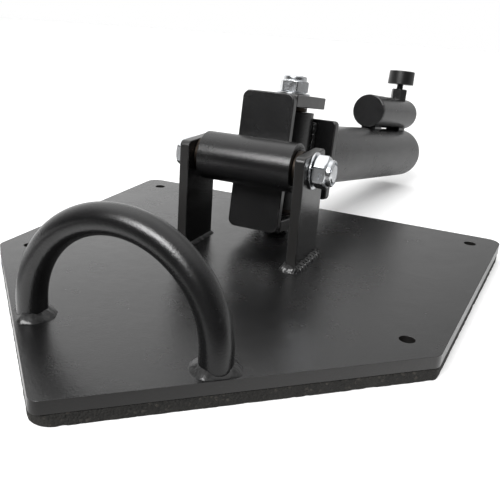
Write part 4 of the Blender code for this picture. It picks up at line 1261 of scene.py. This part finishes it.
class PIVOTBASE_OT_bushes(bpy.types.Operator):
    """Makes the four flanged bronze bushes"""
    bl_idname = "pivot_base.bushes"
    bl_label = "Bushes"

    def execute(self, context):
        for node, place, body in (("pivot_bush_left", BOLT, "yoke"), ("pivot_bush_right", BOLT, "yoke"),
                                  ("swivel_bush_top", SWIVEL, "sleeve"),
                                  ("swivel_bush_bottom", SWIVEL, "sleeve")):
            make_piece(node, flanged_bush(node, place), body, bronze())
        return {"FINISHED"}


class PIVOTBASE_OT_tubes(bpy.types.Operator):
    """Makes the pivot tube, the swivel tube and the sleeve for the barbell"""
    bl_idname = "pivot_base.tubes"
    bl_label = "Tubes"

    def execute(self, context):
        for node, place, body in (("pivot_tube", BOLT, "yoke"), ("swivel_tube", SWIVEL, "sleeve"),
                                  ("barbell_sleeve", along_sleeve("barbell_sleeve"), "sleeve")):
            coated(node, plain_ring(node, place, sizes().rim_rounding, FINE_COLUMNS), body)
        return {"FINISHED"}


# Yoke

class PIVOTBASE_OT_yoke_plates(bpy.types.Operator):
    """Makes the yoke's face plate and its two arms"""
    bl_idname = "pivot_base.yoke_plates"
    bl_label = "Yoke Plates"

    def execute(self, context):
        root, free = sizes().bar_rounding, sizes().arm_corner
        face = bar("yoke_face_plate", YOKE, (2, 0, 1), (sizes().yoke_corner,) * 4)
        coated("yoke_face_plate", face, "yoke")
        for node in ("yoke_top_arm", "yoke_bottom_arm"):
            hole = (0.0, 0.0, Measure(node, SWIVEL).bore)
            coated(node, bar(node, SWIVEL, (0, 1, 2), (root, root, free, free), [hole]), "yoke")
        return {"FINISHED"}


def corner_weld(node, upward, seed):
    """A fillet weld along the inner corner between the yoke's face plate and an arm."""
    found = Measure(node, YOKE)
    leg = found.size[1:].min()
    length = found.size[0]
    along = np.linspace(0.0, length, round(length / sizes().weld_pitch * STEPS_PER_DROP))
    corner = np.array([found.low[0], found.low[1], found.low[2] if upward > 0 else found.high[2]])
    root = corner + X_AXIS * along[:, None]
    off_plate = np.broadcast_to(Y_AXIS, root.shape)
    off_arm = np.broadcast_to(Z_AXIS * upward, root.shape)
    legs = leg * end_taper(along, length, leg)
    return moved(fillet(root, off_plate, off_arm, legs, along, seed, False, rippled_look()), YOKE)


def straight_bead(node, place, axis, seed):
    """A bead that runs along one of a place's axes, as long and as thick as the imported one."""
    found = Measure(node, place)
    ends = np.array([found.centre, found.centre])
    ends[:, axis] = found.low[axis], found.high[axis]
    start, end = ends @ place[:3, :3].T + place[:3, 3]
    return bead(start, end, np.delete(found.size, axis).max() / 2, seed)


class PIVOTBASE_OT_yoke_welds(bpy.types.Operator):
    """Makes the beads at the pivot tube and the fillets inside the yoke's corners"""
    bl_idname = "pivot_base.yoke_welds"
    bl_label = "Yoke Welds"

    def execute(self, context):
        for node, seed in (("lower_tube_weld", 41), ("upper_tube_weld", 42)):
            welded(node, straight_bead(node, YOKE, 0, seed), "yoke")
        for node, upward, seed in (("top_arm_weld", -1, 43), ("bottom_arm_weld", 1, 44)):
            welded(node, corner_weld(node, upward, seed), "yoke")
        return {"FINISHED"}


# Sleeve assembly

class PIVOTBASE_OT_back_plate(bpy.types.Operator):
    """Makes the square plate between the swivel tube and the sleeve"""
    bl_idname = "pivot_base.back_plate"
    bl_label = "Back Plate"

    def execute(self, context):
        node = "sleeve_back_plate"
        coated(node, bar(node, SLEEVE, (2, 0, 1), (sizes().back_plate_corner,) * 4), "sleeve")
        return {"FINISHED"}


class PIVOTBASE_OT_sleeve_welds(bpy.types.Operator):
    """Makes the beads beside the swivel tube and the ring of weld at the sleeve's foot"""
    bl_idname = "pivot_base.sleeve_welds"
    bl_label = "Sleeve Welds"

    def execute(self, context):
        for node, seed in (("left_swivel_weld", 51), ("right_swivel_weld", 52)):
            welded(node, straight_bead(node, SLEEVE, 2, seed), "sleeve")
        place = along_sleeve("barbell_sleeve")
        radius = Measure("barbell_sleeve", place).outer
        ring = ring_weld("sleeve_foot_weld", place, radius, 53, rippled_look())
        welded("sleeve_foot_weld", ring, "sleeve")
        return {"FINISHED"}


def bored(surface, tool):
    """A surface less a tool's solid. The marks on its points are kept."""
    solids = []
    for name, each in (("bored", surface), ("borer", tool)):
        solid = bpy.data.objects.new(name, clean_mesh(name, each))
        bpy.context.scene.collection.objects.link(solid)
        solids.append(solid)
    cut = solids[0].modifiers.new("bore", "BOOLEAN")
    cut.operation = "DIFFERENCE"
    cut.object = solids[1]
    bpy.context.view_layer.update()
    result = solids[0].evaluated_get(bpy.context.evaluated_depsgraph_get()).to_mesh()
    points = np.array([vertex.co[:] for vertex in result.vertices])
    faces = [list(polygon.vertices) for polygon in result.polygons]
    marks = np.array([[value.value for value in result.attributes[name].data]
                      for name in (WEAR_MARK, SIDE_MARK)]).T
    for solid in solids:
        mesh = solid.data
        bpy.data.objects.remove(solid)
        bpy.data.meshes.remove(mesh)
    return points, faces, marks


def disc(node, place, rounding):
    """The small sleeve's closed end, rounded at both rims, so that a seam shows at the tube."""
    found = Measure(node, place)
    low, high = found.low[2], found.high[2]
    quarter = [(rounding * (1 - math.sin(angle)), rounding * (1 - math.cos(angle)), math.sin(2 * angle))
               for angle in quarter_turn(RIM_STEPS)]
    rings = [(found.outer - inset, low + height, mark) for inset, height, mark in quarter]
    rings += [(found.outer - inset, high - height, 0.0) for inset, height, mark in quarter[::-1]]
    return moved(ring_stack([(0.0, low, 0.0)] + rings + [(0.0, high, 0.0)], FINE_COLUMNS), place)


class PIVOTBASE_OT_small_sleeve(bpy.types.Operator):
    """Makes the smaller sleeve, bored for the clamping screw, and its closed end"""
    bl_idname = "pivot_base.small_sleeve"
    bl_label = "Small Sleeve"

    def execute(self, context):
        rounding = sizes().rim_rounding
        place = along_sleeve("small_sleeve")
        tube = Measure("small_sleeve", place)
        reach = tube.outer * DRILL_REACH
        radius = Measure("lock_screw_boss", SCREW).bore
        drill = ring_stack([(0.0, 0.0, 0.0), (radius, 0.0, 0.0), (radius, reach, 0.0), (0.0, reach, 0.0)],
                           HOLE_COLUMNS)
        surface = plain_ring("small_sleeve", place, rounding, FINE_COLUMNS)
        coated("small_sleeve", bored(surface, moved(drill, SCREW)), "sleeve")
        coated("small_sleeve_cap", disc("small_sleeve_cap", place, sizes().cap_rounding), "sleeve")
        return {"FINISHED"}


def standoff(node):
    """A short bar whose lower and upper faces follow the two tubes that it joins."""
    found = Measure(node, SLEEVE)
    soft = sizes().bar_rounding * STANDOFF_SOFTNESS
    across = np.linspace(found.low[0], found.high[0], SADDLE_STEPS + 1)
    softened = np.zeros(len(across))
    softened[[0, -1]] = soft
    heights = []
    for tube, side in (("barbell_sleeve", 1), ("small_sleeve", -1)):
        radius = Measure(tube, along_sleeve(tube)).outer
        heights.append(Measure(tube, SLEEVE).centre[2] + side * np.sqrt(radius ** 2 - across ** 2))
    lower = list(zip(across, heights[0], softened))
    upper = list(zip(across, heights[1], softened))
    outline, normals, _ = rounded_outline(lower + upper[::-1], RIM_STEPS)
    surface = prism([(outline[:, ::-1], normals[:, ::-1])], found.size[1], soft)
    return raised_in(surface, SLEEVE, (2, 0, 1), found.low[1])


class PIVOTBASE_OT_standoffs(bpy.types.Operator):
    """Makes the two short bars that join the sleeves"""
    bl_idname = "pivot_base.standoffs"
    bl_label = "Standoffs"

    def execute(self, context):
        for node in ("near_standoff", "far_standoff"):
            coated(node, standoff(node), "sleeve")
        return {"FINISHED"}


def boss_surface(node, place):
    """A bored hexagon whose foot follows the small sleeve and whose upper end is chamfered."""
    place = spun_to_corner(node, place)
    found = Measure(node, place)
    small = sizes().fine_rounding
    tube = Measure("small_sleeve", along_sleeve("small_sleeve")).outer
    axis_height = Measure("small_sleeve", place).centre[2]
    flat = found.outer * math.sqrt(3) / 2
    hexagon = hexagon_radius(flat)
    angle = column_angles()
    sideways = np.stack([np.cos(angle), np.sin(angle)], -1) @ (place[:3, :2].T @ SLEEVE_SIDE)
    feet = [axis_height + np.sqrt(tube ** 2 - (radius * sideways) ** 2) - small
            for radius in (found.bore, hexagon)]
    rings = [(found.bore, feet[0], 0.0), (hexagon, feet[1], 0.0)]
    rings += hexagon_end(flat, found.high[2], -1)[::-1]
    rings += [(found.bore + small, found.high[2], 0.0), (found.bore, found.high[2] - small, 0.0)]
    return moved(ring_stack(rings, closed=True), place)


def stem_surface(node, place):
    """A threaded stem with chamfered ends."""
    found = Measure(node, place)
    low, high = found.low[2], found.high[2]
    depth = sizes().screw_pitch * SCREW_DEPTH
    rings = [(0.0, low, 0.0), (found.outer - depth, low, 0.0)]
    rings += thread_rings(found.outer, low + depth, high - depth, sizes().screw_pitch, depth)
    return moved(ring_stack(rings + [(found.outer - depth, high, 0.0), (0.0, high, 0.0)]), place)


def knob_surface(node, place):
    """A plain round knob, slightly wider below, with rounded rims and a socket for the stem."""
    found = Measure(node, place)
    rounding = sizes().knob_rounding
    low, high = found.low[2], found.high[2]
    socket = found.radii[found.radii > rounding].min()
    depth = found.heights_at(socket)[1]
    corners = [(0.0, depth, 0), (socket, depth, 0), (socket, low, rounding / 6),
               (found.outer, low, rounding / 2), (found.outer * KNOB_TAPER, high, rounding), (0.0, high, 0)]
    points, _, marks = rounded_outline(corners)
    return moved(ring_stack(list(zip(points[:, 0], points[:, 1], marks)), FINE_COLUMNS), place)


class PIVOTBASE_OT_clamp(bpy.types.Operator):
    """Makes the six-sided boss, the threaded stem and the knob"""
    bl_idname = "pivot_base.clamp"
    bl_label = "Clamping Screw"

    def execute(self, context):
        coated("lock_screw_boss", boss_surface("lock_screw_boss", SCREW), "sleeve")
        make_piece("lock_screw_stem", stem_surface("lock_screw_stem", SCREW), "lock_screw",
                   dark_steel())
        make_piece("lock_screw_knob", knob_surface("lock_screw_knob", SCREW), "lock_knob",
                   knob_plastic())
        return {"FINISHED"}


# Studio

def floor_material(studio):
    """Pale seamless paper with faint fibres, white to the camera where nothing shades it.

    To the object it sends back little light in front of a slanting line, about half of it from far behind
    and less from close by on the left. Far out on the left it sends back all of it again.
    """
    made, tree, sockets = new_finish("pale_paper", 0.9, Specular_IOR_Level=0.1)
    where = tree.object_place()
    fibres = tree.noise(where, 0.004, 6.0, 0.7)
    paper = tree.mix(fibres, DARK_PAPER, PALE_PAPER)
    path = tree.add("ShaderNodeLightPath").outputs
    seen = tree.maths("MAXIMUM", path["Is Camera Ray"], path["Is Transmission Ray"])
    place = tree.add("ShaderNodeSeparateXYZ", {"Vector": where}).outputs
    aslant = tree.maths("MULTIPLY_ADD", place["X"], -0.5, place["Y"])
    past_line = tree.stretch(aslant, -0.37, -0.21, studio.front_floor, 1.0)
    far_behind = tree.stretch(place["Y"], 0.05, 0.40, 1.0, 0.52)
    close_left = tree.stretch(place["X"], -0.15, -0.195, 1.0, 0.30)
    far_left = tree.maths("MULTIPLY", tree.stretch(place["X"], -0.25, -0.50),
                          tree.stretch(place["Y"], -0.9, -0.6))
    near = tree.maths("MULTIPLY", past_line, tree.maths("MULTIPLY", far_behind, close_left))
    lit = tree.maths("MAXIMUM", near, far_left)
    bare = tree.maths("MAXIMUM", seen, lit)
    tree.feed(sockets["Base Color"], tree.mix(bare, BLACK, paper))
    bumped(tree, sockets, fibres, PAPER_RELIEF)
    glow = tree.add("ShaderNodeEmission", {"Color": WHITE})
    shown = tree.maths("MULTIPLY", tree.maths("MAXIMUM", seen, path["Is Glossy Ray"]), bare)
    tree.feed(glow.inputs["Strength"], tree.maths("MULTIPLY", shown, PAPER_GLOW))
    both = tree.add("ShaderNodeAddShader")
    tree.feed(both.inputs[0], made.node_tree.nodes["Principled BSDF"].outputs[0])
    tree.feed(both.inputs[1], glow.outputs[0])
    tree.feed(made.node_tree.nodes["Material Output"].inputs["Surface"], both.outputs[0])
    return made


def studio_world(studio):
    """White to the camera. As light and in reflections it is dark in front, brighter behind the object,
    and brightest behind it on the left and overhead."""
    world = bpy.data.worlds.new("studio")
    world.use_nodes = True
    world.node_tree.nodes.clear()
    tree = Tree(world.node_tree)
    way = tree.add("ShaderNodeSeparateXYZ", {"Vector": tree.add("ShaderNodeTexCoord").outputs["Generated"]})
    level = tree.stretch(way.outputs["Y"], -0.35, 0.55, studio.front_level, studio.back_level)
    left = tree.maths("MULTIPLY", tree.stretch(way.outputs["X"], 0.0, -0.6), studio.left_level)
    left = tree.maths("MULTIPLY", left, tree.stretch(way.outputs["Y"], -0.6, 0.2))
    top = tree.maths("MULTIPLY", tree.stretch(way.outputs["Z"], 0.6, 0.9), studio.top_level)
    extra = tree.maths("ADD", left, top)
    white = tree.add("ShaderNodeBackground", {"Color": WHITE, "Strength": 1.0})
    light = tree.add("ShaderNodeBackground", {"Color": WHITE, "Strength": tree.maths("ADD", level, extra)})
    path = tree.add("ShaderNodeLightPath").outputs
    seen = tree.maths("MAXIMUM", path["Is Camera Ray"], path["Is Transmission Ray"])
    mixed = tree.add("ShaderNodeMixShader", {"Fac": seen})
    tree.feed(mixed.inputs[1], light.outputs[0])
    tree.feed(mixed.inputs[2], white.outputs[0])
    tree.feed(tree.add("ShaderNodeOutputWorld").inputs["Surface"], mixed.outputs[0])
    return world


def camera_matrix(studio):
    """The camera's place, from its yaw and dip, then rolled about the way it looks."""
    yaw, dip, roll = studio.camera_yaw, studio.camera_dip, studio.camera_roll
    forward = np.array([math.sin(yaw) * math.cos(dip), math.cos(yaw) * math.cos(dip), -math.sin(dip)])
    level = np.array([math.cos(yaw), -math.sin(yaw), 0.0])
    down = np.cross(forward, level)
    made = np.eye(4)
    made[:3, 0] = level * math.cos(roll) + down * math.sin(roll)
    made[:3, 1] = level * math.sin(roll) - down * math.cos(roll)
    made[:3, 2] = -forward
    made[:3, 3] = studio.camera_place
    return Matrix(made.tolist())


class PIVOTBASE_OT_studio(bpy.types.Operator):
    """Sets the floor, the softbox, the surrounding light and the camera"""
    bl_idname = "pivot_base.studio"
    bl_label = "Studio"

    def execute(self, context):
        scene = context.scene
        studio = scene.pivot_base_studio
        half = studio.floor_half
        mesh = bpy.data.meshes.new("floor")
        corners = [(-half, -half, 0), (half, -half, 0), (half, half, 0), (-half, half, 0)]
        mesh.from_pydata(corners, [], [(0, 1, 2, 3)])
        mesh.materials.append(floor_material(studio))
        floor = bpy.data.objects.new("floor", mesh)
        lamp = bpy.data.lights.new("softbox", "AREA")
        lamp.shape = "RECTANGLE"
        lamp.size = studio.key_width
        lamp.size_y = studio.key_depth
        lamp.energy = studio.key_power
        softbox = bpy.data.objects.new("softbox", lamp)
        way = Vector(studio.key_way).normalized()
        softbox.matrix_world = (Matrix.Translation(way * studio.key_distance)
                                @ way.to_track_quat("Z", "Y").to_matrix().to_4x4())
        lens = bpy.data.cameras.new("camera")
        lens.lens = studio.lens
        lens.shift_x = studio.shift_x
        lens.shift_y = studio.shift_y
        camera = bpy.data.objects.new("camera", lens)
        camera.matrix_world = camera_matrix(studio)
        for made in (floor, softbox, camera):
            scene.collection.objects.link(made)
        scene.camera = camera
        scene.world = studio_world(studio)
        scene.view_settings.view_transform = "Standard"
        return {"FINISHED"}


# Add-on

OPERATORS = (
    PIVOTBASE_OT_plate, PIVOTBASE_OT_mat, PIVOTBASE_OT_uprights, PIVOTBASE_OT_handle,
    PIVOTBASE_OT_handle_welds, PIVOTBASE_OT_upright_welds, PIVOTBASE_OT_fasteners, PIVOTBASE_OT_bushes,
    PIVOTBASE_OT_tubes, PIVOTBASE_OT_yoke_plates, PIVOTBASE_OT_yoke_welds, PIVOTBASE_OT_back_plate,
    PIVOTBASE_OT_sleeve_welds, PIVOTBASE_OT_small_sleeve, PIVOTBASE_OT_standoffs, PIVOTBASE_OT_clamp,
    PIVOTBASE_OT_studio,
)

GROUPS = {"pivot_base_sizes": PivotBaseSizes, "pivot_base_finishes": PivotBaseFinishes,
          "pivot_base_studio": PivotBaseStudio}


class PIVOTBASE_PT_panel(bpy.types.Panel):
    """Settings and pieces of the pivot base plate"""
    bl_idname = "PIVOTBASE_PT_panel"
    bl_label = "Pivot Base"
    bl_space_type = "VIEW_3D"
    bl_region_type = "UI"
    bl_category = "Pivot Base"

    def draw(self, context):
        for name, group in GROUPS.items():
            box = self.layout.box()
            for setting in group.__annotations__:
                box.prop(getattr(context.scene, name), setting)
        for operator in OPERATORS:
            self.layout.operator(operator.bl_idname)


def register():
    for each in (*GROUPS.values(), *OPERATORS, PIVOTBASE_PT_panel):
        bpy.utils.register_class(each)
    for name, group in GROUPS.items():
        setattr(bpy.types.Scene, name, PointerProperty(type=group))


def unregister():
    for name in GROUPS:
        delattr(bpy.types.Scene, name)
    for each in (PIVOTBASE_PT_panel, *reversed(OPERATORS), *GROUPS.values()):
        bpy.utils.unregister_class(each)


def main():
    register()
    for operator in OPERATORS:
        group, name = operator.bl_idname.split(".")
        getattr(getattr(bpy.ops, group), name)()


if __name__ == "__main__":
    main()
